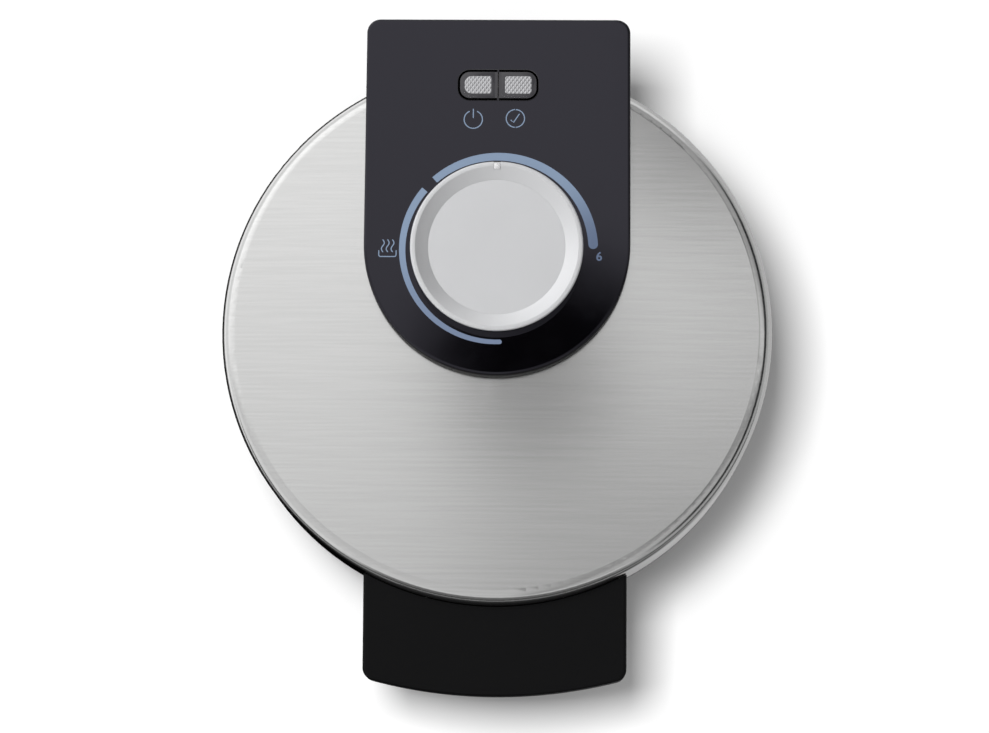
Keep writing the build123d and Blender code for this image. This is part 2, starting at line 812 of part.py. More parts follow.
with BuildPart() as lower_grid_plate:
    with BuildSketch(round_profile):
        with BuildLine():
            Polyline(
                (0, plate_back_z),
                (back_radius, plate_back_z),
                (step_radius, flange_under_z),
                (flange_radius, flange_under_z),
                (flange_radius, rim_z),
                (moat_outer, rim_z),
                (moat_outer - moat_slope, rim_z - moat_depth),
                (moat_inner + moat_slope, rim_z - moat_depth),
                (moat_inner, rim_z),
                (waffle_radius, rim_z),
                (cup_floor_radius, cup_floor_z),
                (0, cup_floor_z),
                close=True,
            )
        make_face()
    revolve(axis=round_axis)
    with BuildSketch(round_plane.offset(cup_floor_z)):
        with Locations(pegs):
            Rectangle(peg_base, peg_base)
        Circle(field_radius, mode=Mode.INTERSECT)
    extrude(amount=peg_height, taper=peg_draft)
    for ridge_axis in (round_profile, side_plane):
        with BuildSketch(ridge_axis):
            with BuildLine():
                Polyline(
                    (-ridge_base / 2, cup_floor_z - plate_floor / 2),
                    (ridge_base / 2, cup_floor_z - plate_floor / 2),
                    (ridge_base / 2, cup_floor_z),
                    (ridge_width / 2, cup_floor_z + peg_height),
                    (-ridge_width / 2, cup_floor_z + peg_height),
                    (-ridge_base / 2, cup_floor_z),
                    close=True,
                )
            make_face()
        extrude(amount=waffle_radius, both=True)
    with BuildSketch(round_plane.offset(plate_back_z)):
        for cheek_ring in (element_ring - cheek_middle, element_ring + cheek_middle):
            Circle(cheek_ring + element_cheek / 2)
            Circle(cheek_ring - element_cheek / 2, mode=Mode.SUBTRACT)
        with Locations((0, element_ring)):
            Rectangle(2 * bend_x, 2 * element_bend, mode=Mode.SUBTRACT)
    extrude(amount=-cheek_height)
    with BuildSketch(round_plane.offset(plate_back_z)):
        with Locations(ring_points(post_ring, post_angles)):
            Circle(post_radius)
    extrude(amount=-pan_drop)
    with BuildSketch(round_plane.offset(pan_floor_z)):
        with Locations(ring_points(post_ring, post_angles)):
            Circle(hole_radius)
    extrude(amount=screw_bite + fit_gap, mode=Mode.SUBTRACT)
    with BuildSketch(round_plane.offset(flange_under_z)):
        with Locations(ring_points(plate_screw_ring, plate_screw_angles)):
            Circle(hole_radius)
    extrude(amount=screw_bite, mode=Mode.SUBTRACT)
finish("lower_grid_plate", lower_grid_plate)

with BuildPart() as lower_plate_screws:
    add(
        screw_set(
            down_seats(ring_points(plate_screw_ring, plate_screw_angles), shelf_under_z),
            shelf_thickness + screw_bite - slide_gap,
        )
    )
finish("lower_plate_screws", lower_plate_screws)

# Lower heating element: a tube bent into a ring, with two legs to the rear
# and a thinner terminal pin on each leg.
element_plane = round_plane.offset(element_z)
with BuildPart() as lower_heating_element:
    with BuildLine(element_plane) as element_route:
        Line((element_leg_x, element_reach), (element_leg_x, bend_y))
        CenterArc((bend_x, bend_y), element_bend, 180, bend_angle)
        CenterArc((0, 0), element_ring, bend_angle, -180 - 2 * bend_angle)
        CenterArc((-bend_x, bend_y), element_bend, -bend_angle, bend_angle)
        Line((-element_leg_x, bend_y), (-element_leg_x, element_reach))
    with BuildSketch(Plane(origin=element_route.line @ 0, z_dir=element_route.line % 0)):
        Circle(element_radius)
    sweep()
    with BuildSketch(
        Plane(origin=(0, body_y + element_reach, element_z), x_dir=(1, 0, 0), z_dir=(0, 1, 0))
    ):
        with Locations((-element_leg_x, 0), (element_leg_x, 0)):
            Circle(pin_radius)
    extrude(amount=pin_length)
finish("lower_heating_element", lower_heating_element)

# Lower reflector: a thin pan screwed to the plate's posts
with BuildPart() as lower_reflector:
    with BuildSketch(round_profile):
        with BuildLine():
            Polyline(
                (0, pan_floor_z - pan_wall),
                (pan_radius - pan_rim / 2, pan_floor_z - pan_wall),
                (pan_radius, pan_floor_z + pan_rim / 2),
                (pan_radius, pan_floor_z + pan_rim),
                (pan_radius - pan_wall, pan_floor_z + pan_rim),
                (pan_radius - pan_wall, pan_floor_z + pan_rim / 2),
                (pan_radius - pan_wall - pan_rim / 2, pan_floor_z),
                (0, pan_floor_z),
                close=True,
            )
        make_face()
    revolve(axis=round_axis)
    with BuildSketch(round_plane.offset(element_z - 2 * pin_radius)):
        with Locations((-element_leg_x, pan_radius), (element_leg_x, pan_radius)):
            Rectangle(4 * pin_radius, pan_rim)
    extrude(amount=pan_rim, mode=Mode.SUBTRACT)
    with BuildSketch(round_plane.offset(pan_floor_z)):
        with Locations(ring_points(post_ring, post_angles)):
            Circle(hole_radius)
    extrude(amount=-pan_wall, mode=Mode.SUBTRACT)
finish("lower_reflector", lower_reflector)

with BuildPart() as lower_reflector_screws:
    add(
        screw_set(
            down_seats(ring_points(post_ring, post_angles), pan_floor_z - pan_wall),
            pan_wall + screw_bite,
        )
    )
finish("lower_reflector_screws", lower_reflector_screws)

# Cord gland: a flanged rubber bush in the back of the hinge block
with BuildPart() as cord_gland:
    gland_plane = radial_plane(block_back_y, 90, gland_z)
    with BuildSketch(gland_plane):
        Circle(gland_flange)
    extrude(amount=-(hinge_reach - block_back_y))
    with BuildSketch(gland_plane):
        Circle(gland_neck)
    extrude(amount=shell_wall)
    with BuildSketch(gland_plane.offset(shell_wall)):
        Circle(gland_inner_flange)
    extrude(amount=gland_flange_depth)
    with BuildSketch(gland_plane.offset(shell_wall + gland_flange_depth)):
        Circle(gland_bore)
    extrude(amount=-2 * block_back_y, mode=Mode.SUBTRACT)
finish("cord_gland", cord_gland)

# Terminal block on the floor of the hinge block, with a screw over each way
terminal_z = base_floor_z + shell_wall + pin_gap
terminal_x = rear_foot_x - foot_head_radius - terminal_gap - terminal_length / 2
terminal_points = [
    (terminal_x + (way - (terminal_count - 1) / 2) * terminal_length / terminal_count, rear_foot_y)
    for way in range(terminal_count)
]
with BuildPart() as terminal_block:
    with BuildSketch(round_plane.offset(terminal_z)):
        with Locations((terminal_x, rear_foot_y)):
            Rectangle(terminal_length, terminal_width)
    extrude(amount=terminal_height)
    with BuildSketch(round_plane.offset(terminal_z + terminal_height)):
        with Locations(terminal_points):
            Circle(shank_radius + slide_gap)
    extrude(amount=-screw_bite, mode=Mode.SUBTRACT)
    with BuildSketch(round_plane.offset(terminal_z + terminal_height)):
        with Locations(
            [(x + terminal_length / terminal_count / 2, y) for x, y in terminal_points[:-1]]
        ):
            Rectangle(terminal_wall, terminal_width)
    extrude(amount=head_height)
finish("terminal_block", terminal_block)

with BuildPart() as terminal_screws:
    add(
        screw_set(
            up_seats(terminal_points, terminal_z + terminal_height),
            screw_bite - slide_gap,
        )
    )
finish("terminal_screws", terminal_screws)

# Lid frame: the ring that the upper plate, the skin and the hinge bracket
# are screwed to, with a lip that closes the bottom edge of the skin.
with BuildPart() as lid_frame:
    with BuildSketch(round_profile):
        with BuildLine():
            Polyline(
                (frame_inner_radius, lid_bottom_z),
                (lid_radius, lid_bottom_z),
                (lid_radius, lid_bottom_z + frame_lip),
                (frame_radius, lid_bottom_z + frame_lip),
                (frame_radius, lid_shelf_top_z),
                (shelf_inner_radius, lid_shelf_top_z),
                (shelf_inner_radius, lid_shelf_under_z),
                (frame_inner_radius, lid_shelf_under_z),
                close=True,
            )
        make_face()
    revolve(axis=round_axis)
    with BuildSketch(round_plane.offset(lid_shelf_top_z)):
        with Locations(ring_points(plate_screw_ring, plate_screw_angles)):
            Circle(hole_radius)
    extrude(amount=-shelf_thickness, mode=Mode.SUBTRACT)
    with BuildSketch(round_plane.offset(lid_shelf_top_z)):
        with Locations(ring_points(bracket_screw_ring, bracket_screw_angles)):
            Circle(hole_radius)
    extrude(amount=-screw_bite - fit_gap, mode=Mode.SUBTRACT)
finish("lid_frame", lid_frame)

# Hinge bracket: a plate on the frame behind the waffle plate, with two arms
# that reach down to the hinge pins.
bracket_z = lid_shelf_top_z + pin_gap

with BuildPart() as hinge_bracket:
    with BuildSketch(round_plane.offset(bracket_z)):
        add(tongue_outline(housing_step + shell_wall + fit_gap))
        Circle(shelf_inner_radius, mode=Mode.SUBTRACT)
        with Locations(ring_points(bracket_screw_ring, bracket_screw_angles)):
            Circle(hole_radius, mode=Mode.SUBTRACT)
    extrude(amount=bracket_thickness)
    for side in (-1, 1):
        with BuildSketch(side_plane.offset(side * knuckle_x)):
            with Locations((hinge_y, hinge_z)):
                Circle(barrel_radius)
            with BuildLine():
                Polyline(
                    (hinge_y - web_front, hinge_z),
                    (hinge_y - web_front, bracket_z),
                    (hinge_y + web_back, bracket_z),
                    (hinge_y + web_back, hinge_z),
                    close=True,
                )
            make_face()
        extrude(amount=knuckle_width / 2, both=True)
        with BuildSketch(side_plane.offset(side * knuckle_x)):
            with Locations((hinge_y, hinge_z)):
                Circle(hinge_pin_radius + pin_gap)
        extrude(amount=knuckle_width, both=True, mode=Mode.SUBTRACT)
finish("hinge_bracket", hinge_bracket)

with BuildPart() as hinge_bracket_screws:
    add(
        screw_set(
            up_seats(
                ring_points(bracket_screw_ring, bracket_screw_angles),
                bracket_z + bracket_thickness,
            ),
            bracket_thickness + screw_bite,
        )
    )
finish("hinge_bracket_screws", hinge_bracket_screws)

# Lid skin: a thin brushed dome with a tongue-shaped opening under the panel
# and a notch at the back for the hinge hood.
notch_half_width = housing_half_width + housing_step
housing_screw_inset = (shell_wall + flange_inset) / 2
housing_screw_x = panel_half_width - housing_screw_inset
housing_screw_points = [
    (0, panel_arc_y - housing_screw_x),
    (-housing_screw_x, panel_arc_y + panel_half_width / 4),
    (housing_screw_x, panel_arc_y + panel_half_width / 4),
    (-housing_screw_x, hood_front_y - 2 * boss_radius),
    (housing_screw_x, hood_front_y - 2 * boss_radius),
]
handle_screw_z = lid_bottom_z + handle_screw_height
handle_screw_angles = (270 - handle_screw_angle, 270 + handle_screw_angle)

with BuildPart() as lid_skin:
    with BuildSketch(round_profile):
        add(dome_section(0, skirt_bottom_z))
        add(dome_section(skin_wall, skirt_bottom_z), mode=Mode.SUBTRACT)
    revolve(axis=round_axis)
    with BuildSketch(round_plane.offset(crown_z)):
        add(tongue_outline(skin_overlap))
    extrude(amount=-lid_height / 2, mode=Mode.SUBTRACT)
    with BuildSketch(round_plane.offset(skirt_bottom_z)):
        with Locations((0, hood_front_y - housing_step + lid_radius / 2)):
            Rectangle(2 * notch_half_width, lid_radius)
    extrude(amount=lid_height + crown_rise, mode=Mode.SUBTRACT)
    with BuildSketch(round_plane.offset(crown_z)):
        with Locations(housing_screw_points):
            Circle(hole_radius)
    extrude(amount=-lid_height / 2, mode=Mode.SUBTRACT)
    for angle in handle_screw_angles:
        with BuildSketch(radial_plane(lid_radius + fit_gap, angle, handle_screw_z)):
            Circle(hole_radius)
        extrude(amount=2 * skin_wall, mode=Mode.SUBTRACT)
finish("lid_skin", lid_skin)

# Upper plate set: the same castings as below, turned over
upper_set = {
    "upper_plate_screws": lower_plate_screws,
    "upper_heating_element": lower_heating_element,
    "upper_reflector_screws": lower_reflector_screws,
}
for name, lower_piece in upper_set.items():
    with BuildPart() as upper_piece:
        mirror(lower_piece.part, about=parting_plane)
    finish(name, upper_piece)

bulb_end_y = dial_y - 2 * capillary_bend
bulb_clip_y = bulb_end_y - bulb_length / 2
clip_reach = slide_gap + (clip_wall + clip_foot) / 2
clip_screw_points = [
    (0, fuse_y + fuse_radius + clip_reach),
    (bulb_x - bulb_radius - clip_reach, bulb_clip_y),
]
clip_screw_bite = plate_floor - clip_wall

with BuildPart() as upper_grid_plate:
    mirror(lower_grid_plate.part, about=parting_plane)
    with BuildSketch(round_plane.offset(upper_back_z)):
        with Locations(clip_screw_points):
            Circle(hole_radius)
    extrude(amount=-clip_screw_bite - slide_gap, mode=Mode.SUBTRACT)
finish("upper_grid_plate", upper_grid_plate)

# Upper reflector, with a hole that lets the sensor tube through to the plate
with BuildPart() as upper_reflector:
    mirror(lower_reflector.part, about=parting_plane)
    with BuildSketch(round_plane.offset(upper_back_z)):
        with Locations((bulb_x, dial_y)):
            Circle(sensor_hole_radius)
    extrude(amount=2 * pan_drop, mode=Mode.SUBTRACT)
finish("upper_reflector", upper_reflector)

# Control housing: a frame under the panel that follows the lid's crown, and
# a hood at the back that covers the hinge bracket.
hood_z = hinge_z + hood_rise
housing_top_z = panel_under_z - pin_gap

with BuildPart(mode=Mode.PRIVATE) as lid_dome:
    with BuildSketch(round_profile):
        add(dome_section(-fit_gap, skirt_bottom_z))
    revolve(axis=round_axis)
    with BuildSketch(round_plane):
        with Locations((0, hood_front_y + lid_radius)):
            Rectangle(4 * lid_radius, 2 * lid_radius)
    extrude(amount=2 * crown_z, mode=Mode.SUBTRACT)

with BuildPart() as control_housing:
    with BuildSketch(round_plane.offset(hood_z)):
        add(tongue_outline(housing_step))
        add(tongue_outline(housing_step + shell_wall), mode=Mode.SUBTRACT)
    extrude(amount=housing_top_z - hood_z)
    with BuildSketch(round_plane.offset(hood_z)):
        add(tongue_outline(housing_step))
        add(tongue_outline(flange_inset), mode=Mode.SUBTRACT)
        with Locations((0, hood_front_y + lid_radius)):
            Rectangle(2 * lid_radius, 2 * lid_radius, mode=Mode.SUBTRACT)
    extrude(amount=housing_top_z - hood_z)
    add(lid_dome.part, mode=Mode.SUBTRACT)
    with BuildSketch(round_plane.offset(lid_bottom_z)):
        Circle(lid_radius + fit_gap)
    extrude(amount=lid_shelf_top_z + fit_gap - lid_bottom_z, mode=Mode.SUBTRACT)
    with BuildSketch(round_plane.offset(housing_top_z - housing_screw_bite)):
        with Locations(housing_screw_points):
            Circle(hole_radius)
    extrude(amount=-lid_height / 2, mode=Mode.SUBTRACT)
finish("control_housing", control_housing)

housing_screw_seats = [
    Plane(
        origin=(x, body_y + y, crown_height(hypot(x, y), skin_wall) - slide_gap),
        z_dir=(0, 0, -1),
    )
    for x, y in housing_screw_points
]
with BuildPart() as housing_screws:
    add(screw_set(housing_screw_seats, skin_wall + housing_screw_bite))
finish("housing_screws", housing_screws)

# Control panel: the glossy tongue, with a window opening, a shaft hole, a
# locating rib inside the housing and two bosses for the thermostat.
thermostat_screw_points = [
    (-thermostat_screw_x, dial_y),
    (thermostat_screw_x, dial_y),
]
opening_width = window_width - 2 * window_lip
opening_height = window_height - 2 * window_lip
opening_corner = window_corner - window_lip
rib_inset = flange_inset + fit_gap

with BuildPart() as control_panel:
    with BuildSketch(round_plane.offset(panel_under_z)):
        add(tongue_outline(0))
    extrude(amount=panel_thickness)
    fillet(control_panel.faces().sort_by(Axis.Z)[-1].edges(), radius=panel_edge)
    with BuildSketch(round_plane.offset(panel_under_z)):
        add(tongue_outline(rib_inset))
        add(tongue_outline(rib_inset + rib_depth), mode=Mode.SUBTRACT)
        with Locations(thermostat_screw_points):
            Circle(boss_radius)
    extrude(amount=-rib_depth)
    with BuildSketch(round_plane.offset(panel_top_z)):
        with Locations((0, window_y)):
            RectangleRounded(opening_width, opening_height, opening_corner)
        with Locations((0, dial_y)):
            Circle(hub_radius + fit_gap)
    extrude(amount=-2 * panel_thickness, mode=Mode.SUBTRACT)
    with BuildSketch(round_plane.offset(panel_under_z - rib_depth)):
        with Locations(thermostat_screw_points):
            Circle(hole_radius)
    extrude(amount=rib_depth + panel_thickness / 2, mode=Mode.SUBTRACT)
finish("control_panel", control_panel)

# Thermostat: a body hung under the panel on a plate, with a threaded neck
# round the dial shaft and two terminal blades.
plate_top_z = panel_under_z - rib_depth
thermostat_top_z = plate_top_z - thermostat_plate_thickness
shaft_bottom_z = thermostat_top_z - shaft_engagement
neck_top_z = panel_under_z - slide_gap

with BuildPart() as thermostat_plate:
    with BuildSketch(dial_plane.offset(thermostat_top_z)):
        RectangleRounded(
            thermostat_plate_length, thermostat_plate_width, thermostat_plate_corner
        )
        Circle(neck_radius + slide_gap, mode=Mode.SUBTRACT)
        with Locations((-thermostat_screw_x, 0), (thermostat_screw_x, 0)):
            Circle(hole_radius, mode=Mode.SUBTRACT)
    extrude(amount=thermostat_plate_thickness)
finish("thermostat_plate", thermostat_plate)

with BuildPart() as thermostat:
    with BuildSketch(dial_plane.offset(thermostat_top_z)):
        RectangleRounded(thermostat_length, thermostat_width, thermostat_corner)
    extrude(amount=-thermostat_height)
    with BuildSketch(dial_plane.offset(thermostat_top_z)):
        Circle(neck_radius)
    extrude(amount=neck_top_z - thermostat_top_z)
    with BuildSketch(dial_plane.offset(shaft_bottom_z - pin_gap)):
        Circle(shaft_radius + pin_gap)
    extrude(amount=neck_top_z - shaft_bottom_z + cut_margin, mode=Mode.SUBTRACT)
    with BuildSketch(
        Plane(
            origin=(0, body_y + dial_y - thermostat_width / 2,
                    thermostat_top_z - thermostat_height / 2),
            x_dir=(1, 0, 0),
            z_dir=(0, -1, 0),
        )
    ):
        with Locations((-blade_width, 0), (blade_width, 0)):
            Rectangle(blade_width, blade_thickness)
    extrude(amount=blade_length)
finish("thermostat", thermostat)

with BuildPart() as thermostat_screws:
    add(
        screw_set(
            down_seats(thermostat_screw_points, thermostat_top_z),
            thermostat_plate_thickness + rib_depth + panel_thickness / 2 - fit_gap,
        )
    )
finish("thermostat_screws", thermostat_screws)

# Sensor tube: the thermostat's capillary, bent down through the reflector,
# with its bulb lying on the back of the upper plate.
bulb_z = upper_back_z + slide_gap + bulb_radius
with BuildPart() as sensor_tube:
    with BuildLine() as tube_route:
        FilletPolyline(
            (thermostat_length / 2 + slide_gap, body_y + dial_y,
             thermostat_top_z - capillary_drop),
            (bulb_x, body_y + dial_y, thermostat_top_z - capillary_drop),
            (bulb_x, body_y + dial_y, bulb_z),
            (bulb_x, body_y + bulb_end_y, bulb_z),
            radius=capillary_bend,
        )
    with BuildSketch(Plane(origin=tube_route.line @ 0, z_dir=tube_route.line % 0)):
        Circle(capillary_radius)
    sweep()
    with BuildSketch(
        Plane(origin=(bulb_x, body_y + bulb_end_y, bulb_z), x_dir=(1, 0, 0), z_dir=(0, -1, 0))
    ):
        Circle(bulb_radius)
    extrude(amount=bulb_length)
finish("sensor_tube", sensor_tube)

# Thermal fuse on the upper plate, and the clips for fuse and bulb
with BuildPart() as thermal_fuse:
    with BuildSketch(side_plane):
        with Locations((fuse_y, upper_back_z + slide_gap + fuse_radius)):
            Circle(fuse_radius)
    extrude(amount=fuse_length / 2, both=True)
finish("thermal_fuse", thermal_fuse)

with BuildPart() as plate_clips:
    add(clip_strap(0, fuse_y, fuse_radius, True))
    add(clip_strap(bulb_x, bulb_clip_y, bulb_radius, False))
    with BuildSketch(round_plane.offset(upper_back_z)):
        with Locations(clip_screw_points):
            Circle(hole_radius)
    extrude(amount=clip_wall, mode=Mode.SUBTRACT)
finish("plate_clips", plate_clips)

with BuildPart() as clip_screws:
    add(
        screw_set(
            up_seats(clip_screw_points, upper_back_z + clip_wall),
            clip_wall + clip_screw_bite,
        )
    )
finish("clip_screws", clip_screws)

# Indicator lenses: the two halves of one rounded window, each with a skirt
# through the panel and a small diffuser let into its top.
lens_top_z = panel_top_z + window_stand
window_plane = Plane(origin=(0, body_y + window_y, 0))

for name, side in (("left", -1), ("right", 1)):
    with BuildPart() as lens:
        with BuildSketch(window_plane.offset(panel_top_z + pin_gap)):
            RectangleRounded(window_width, window_height, window_corner)
        extrude(amount=window_stand)
        chamfer(lens.faces().sort_by(Axis.Z)[-1].edges(), length=window_bevel)
        with BuildSketch(window_plane.offset(panel_top_z + pin_gap)):
            RectangleRounded(
                opening_width - 2 * slide_gap,
                opening_height - 2 * slide_gap,
                opening_corner - slide_gap,
            )
        extrude(amount=-panel_thickness - skirt_depth / 2)
        with BuildSketch(window_plane.offset(lens_top_z + cut_margin)):
            with Locations((-side * window_width / 2 + side * window_split / 2, 0)):
                Rectangle(window_width, 2 * window_height)
            with Locations((side * diffuser_x, 0)):
                RectangleRounded(diffuser_width, diffuser_height, diffuser_corner)
        extrude(amount=-2 * panel_rise, mode=Mode.SUBTRACT)
    finish(f"{name}_lens", lens)
    with BuildPart() as diffuser:
        with BuildSketch(window_plane.offset(lens_top_z - diffuser_sink)):
            with Locations((side * diffuser_x, 0)):
                RectangleRounded(
                    diffuser_width - 2 * slide_gap,
                    diffuser_height - 2 * slide_gap,
                    diffuser_corner - slide_gap,
                )
        extrude(amount=-diffuser_thickness)
    finish(f"{name}_diffuser", diffuser)

# Lamp holder under the window: an open tray with two cells, a lamp in each
holder_top_z = panel_under_z - pin_gap
holder_floor_z = holder_top_z - holder_depth
skirt_end_z = panel_top_z + pin_gap - panel_thickness - skirt_depth / 2
with BuildPart() as lamp_holder:
    with BuildSketch(window_plane.offset(holder_floor_z)):
        RectangleRounded(
            opening_width + 2 * holder_wall, opening_height + 2 * holder_wall, opening_corner
        )
    extrude(amount=holder_depth)
    with BuildSketch(window_plane.offset(holder_floor_z + holder_wall)):
        RectangleRounded(opening_width, opening_height, opening_corner)
    extrude(amount=holder_depth, mode=Mode.SUBTRACT)
    with BuildSketch(window_plane.offset(holder_floor_z + holder_wall)):
        Rectangle(holder_wall, opening_height)
    extrude(amount=skirt_end_z - fit_gap - holder_floor_z - holder_wall)
finish("lamp_holder", lamp_holder)

with BuildPart() as indicator_lamps:
    with BuildSketch(window_plane.offset(holder_floor_z + holder_wall + pin_gap)):
        with Locations((-diffuser_x, 0), (diffuser_x, 0)):
            Circle(lamp_radius)
    extrude(amount=lamp_height)
    chamfer(indicator_lamps.faces().sort_by(Axis.Z)[-2:].edges(), length=lamp_bevel)
finish("indicator_lamps", indicator_lamps)

# Handle: a bottom shell screwed to the lid skin from inside, and a cover
# screwed to it from below.
handle_top_slope = (lid_bottom_z + handle_top_root, lid_bottom_z + handle_top_tip)
handle_split_slope = [height - handle_cover_depth for height in handle_top_slope]
handle_under_slope = (lid_bottom_z + handle_under_root, lid_bottom_z + handle_under_tip)
grip_screw_x = handle_half_width - grip_screw_inset
grip_screw_y = handle_reach - grip_screw_setback
grip_screw_points = [(-grip_screw_x, -grip_screw_y), (grip_screw_x, -grip_screw_y)]
tip_share = (grip_screw_y + handle_root_y) / (handle_reach + handle_root_y)
grip_under_z = handle_under_slope[0] + tip_share * (
    handle_under_slope[1] - handle_under_slope[0]
)
grip_split_z = handle_split_slope[0] + tip_share * (
    handle_split_slope[1] - handle_split_slope[0]
)
grip_seat_z = grip_under_z + handle_wall
grip_boss_z = grip_seat_z + grip_seat_wall


def lifted(slope, amount):
    """A slope moved straight up."""
    return [height + amount for height in slope]


with BuildPart() as handle_cover:
    add(handle_slab(0, handle_top_slope, handle_split_slope))
    fillet(
        handle_cover.faces().sort_by(Axis.Z)[-1].edges().sort_by(Axis.Y)[:-1],
        radius=handle_edge,
    )
    add(
        handle_slab(
            handle_wall,
            lifted(handle_top_slope, -handle_wall),
            lifted(handle_split_slope, -handle_wall),
        ),
        mode=Mode.SUBTRACT,
    )
    with BuildSketch(round_plane.offset(grip_boss_z + slide_gap)):
        with Locations(grip_screw_points):
            Circle(boss_radius)
    extrude(amount=grip_split_z + handle_cover_depth - handle_wall / 2 - grip_boss_z - slide_gap)
    with BuildSketch(round_plane.offset(grip_boss_z + slide_gap)):
        with Locations(grip_screw_points):
            Circle(hole_radius)
    extrude(amount=screw_bite, mode=Mode.SUBTRACT)
finish("handle_cover", handle_cover)

with BuildPart() as handle_shell:
    add(handle_slab(0, lifted(handle_split_slope, -pin_gap), handle_under_slope))
    add(
        handle_slab(
            handle_wall,
            lifted(handle_split_slope, handle_wall),
            lifted(handle_under_slope, handle_wall),
        ),
        mode=Mode.SUBTRACT,
    )
    for angle in handle_screw_angles:
        with BuildSketch(
            radial_plane(lid_radius + handle_boss_length, angle, handle_screw_z)
        ):
            Circle(boss_radius)
        extrude(amount=handle_boss_length - fit_gap - handle_wall / 2)
        with BuildSketch(radial_plane(lid_radius, angle, handle_screw_z)):
            Circle(hole_radius)
        extrude(amount=-(handle_wall + screw_bite + 2 * fit_gap), mode=Mode.SUBTRACT)
    with BuildSketch(round_plane.offset(grip_under_z + handle_wall / 2)):
        with Locations(grip_screw_points):
            Circle(boss_radius)
    extrude(amount=grip_boss_z - grip_under_z - handle_wall / 2)
    with BuildSketch(round_plane.offset(lid_bottom_z)):
        with Locations(grip_screw_points):
            Circle(head_radius + slide_gap)
    extrude(amount=grip_seat_z - lid_bottom_z, mode=Mode.SUBTRACT)
    with BuildSketch(round_plane.offset(grip_seat_z)):
        with Locations(grip_screw_points):
            Circle(hole_radius)
    extrude(amount=grip_seat_wall, mode=Mode.SUBTRACT)
finish("handle_shell", handle_shell)

handle_screw_seats = [
    radial_plane(lid_radius - skin_wall - slide_gap, angle, handle_screw_z)
    for angle in handle_screw_angles
]
with BuildPart() as handle_screws:
    add(screw_set(handle_screw_seats, skin_wall + fit_gap + handle_wall + screw_bite))
finish("handle_screws", handle_screws)

with BuildPart() as handle_cover_screws:
    add(
        screw_set(
            down_seats(grip_screw_points, grip_seat_z),
            grip_seat_wall + screw_bite,
        )
    )
finish("handle_cover_screws", handle_cover_screws)

# Dial: a rim with a bevel running down to a flat cap, hollow below, with a
# hub on the flatted shaft and a bright marker let into a notch in the rim.
dial_top_z = dial_z + dial_height
cap_top_z = dial_top_z - dial_dish
cap_seat_z = cap_top_z - cap_thickness
dial_under_z = cap_seat_z - dial_wall
hub_bottom_z = neck_top_z + fit_gap
shaft_top_z = cap_seat_z - dial_wall / 2
notch_floor = dial_top_z - notch_depth - marker_thickness
flat_offset = shaft_radius - shaft_flat

with BuildPart() as dial:
    with BuildSketch(dial_profile):
        with BuildLine():
            Polyline(
                (0, hub_bottom_z),
                (hub_radius, hub_bottom_z),
                (hub_radius, dial_under_z),
                (dial_radius - dial_flare - dial_wall, dial_under_z),
                (dial_radius - dial_flare - dial_wall, dial_z),
                (dial_radius - dial_flare, dial_z),
                (dial_radius, dial_top_z - dial_edge),
                (dial_radius - dial_edge, dial_top_z),
                (dial_radius - dial_rim_width, dial_top_z),
                (dial_cap_radius, cap_top_z),
                (dial_cap_radius, cap_seat_z),
                (0, cap_seat_z),
                close=True,
            )
        make_face()
    revolve(axis=dial_axis)
    with BuildSketch(dial_plane.offset(notch_floor)):
        with Locations((0, notch_inner + dial_radius / 2)):
            Rectangle(notch_width, dial_radius)
    extrude(amount=dial_height, mode=Mode.SUBTRACT)
    with BuildSketch(dial_plane.offset(hub_bottom_z)):
        Circle(shaft_radius + pin_gap)
        with Locations((0, flat_offset + pin_gap + shaft_radius)):
            Rectangle(3 * shaft_radius, 2 * shaft_radius, mode=Mode.SUBTRACT)
    extrude(amount=shaft_top_z + pin_gap - hub_bottom_z, mode=Mode.SUBTRACT)
finish("dial", dial)

with BuildPart() as dial_cap:
    with BuildSketch(dial_plane.offset(cap_seat_z)):
        Circle(dial_cap_radius - pin_gap)
    extrude(amount=cap_thickness)
finish("dial_cap", dial_cap)

with BuildPart() as dial_marker:
    with BuildSketch(dial_plane.offset(notch_floor)):
        with Locations((0, (notch_inner + notch_outer) / 2)):
            Rectangle(notch_width - 2 * pin_gap, notch_outer - notch_inner - 2 * pin_gap)
    extrude(amount=marker_thickness)
finish("dial_marker", dial_marker)

# Thermostat shaft: round in the neck, with a flat where the dial grips it
with BuildPart() as thermostat_shaft:
    with BuildSketch(dial_plane.offset(shaft_bottom_z)):
        Circle(shaft_radius)
    extrude(amount=shaft_top_z - shaft_bottom_z)
    with BuildSketch(dial_plane.offset(hub_bottom_z)):
        with Locations((0, flat_offset + shaft_radius)):
            Rectangle(3 * shaft_radius, 2 * shaft_radius)
    extrude(amount=shaft_top_z - hub_bottom_z, mode=Mode.SUBTRACT)
finish("thermostat_shaft", thermostat_shaft)
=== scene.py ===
import json
import math

import bpy
from mathutils import Matrix, Vector


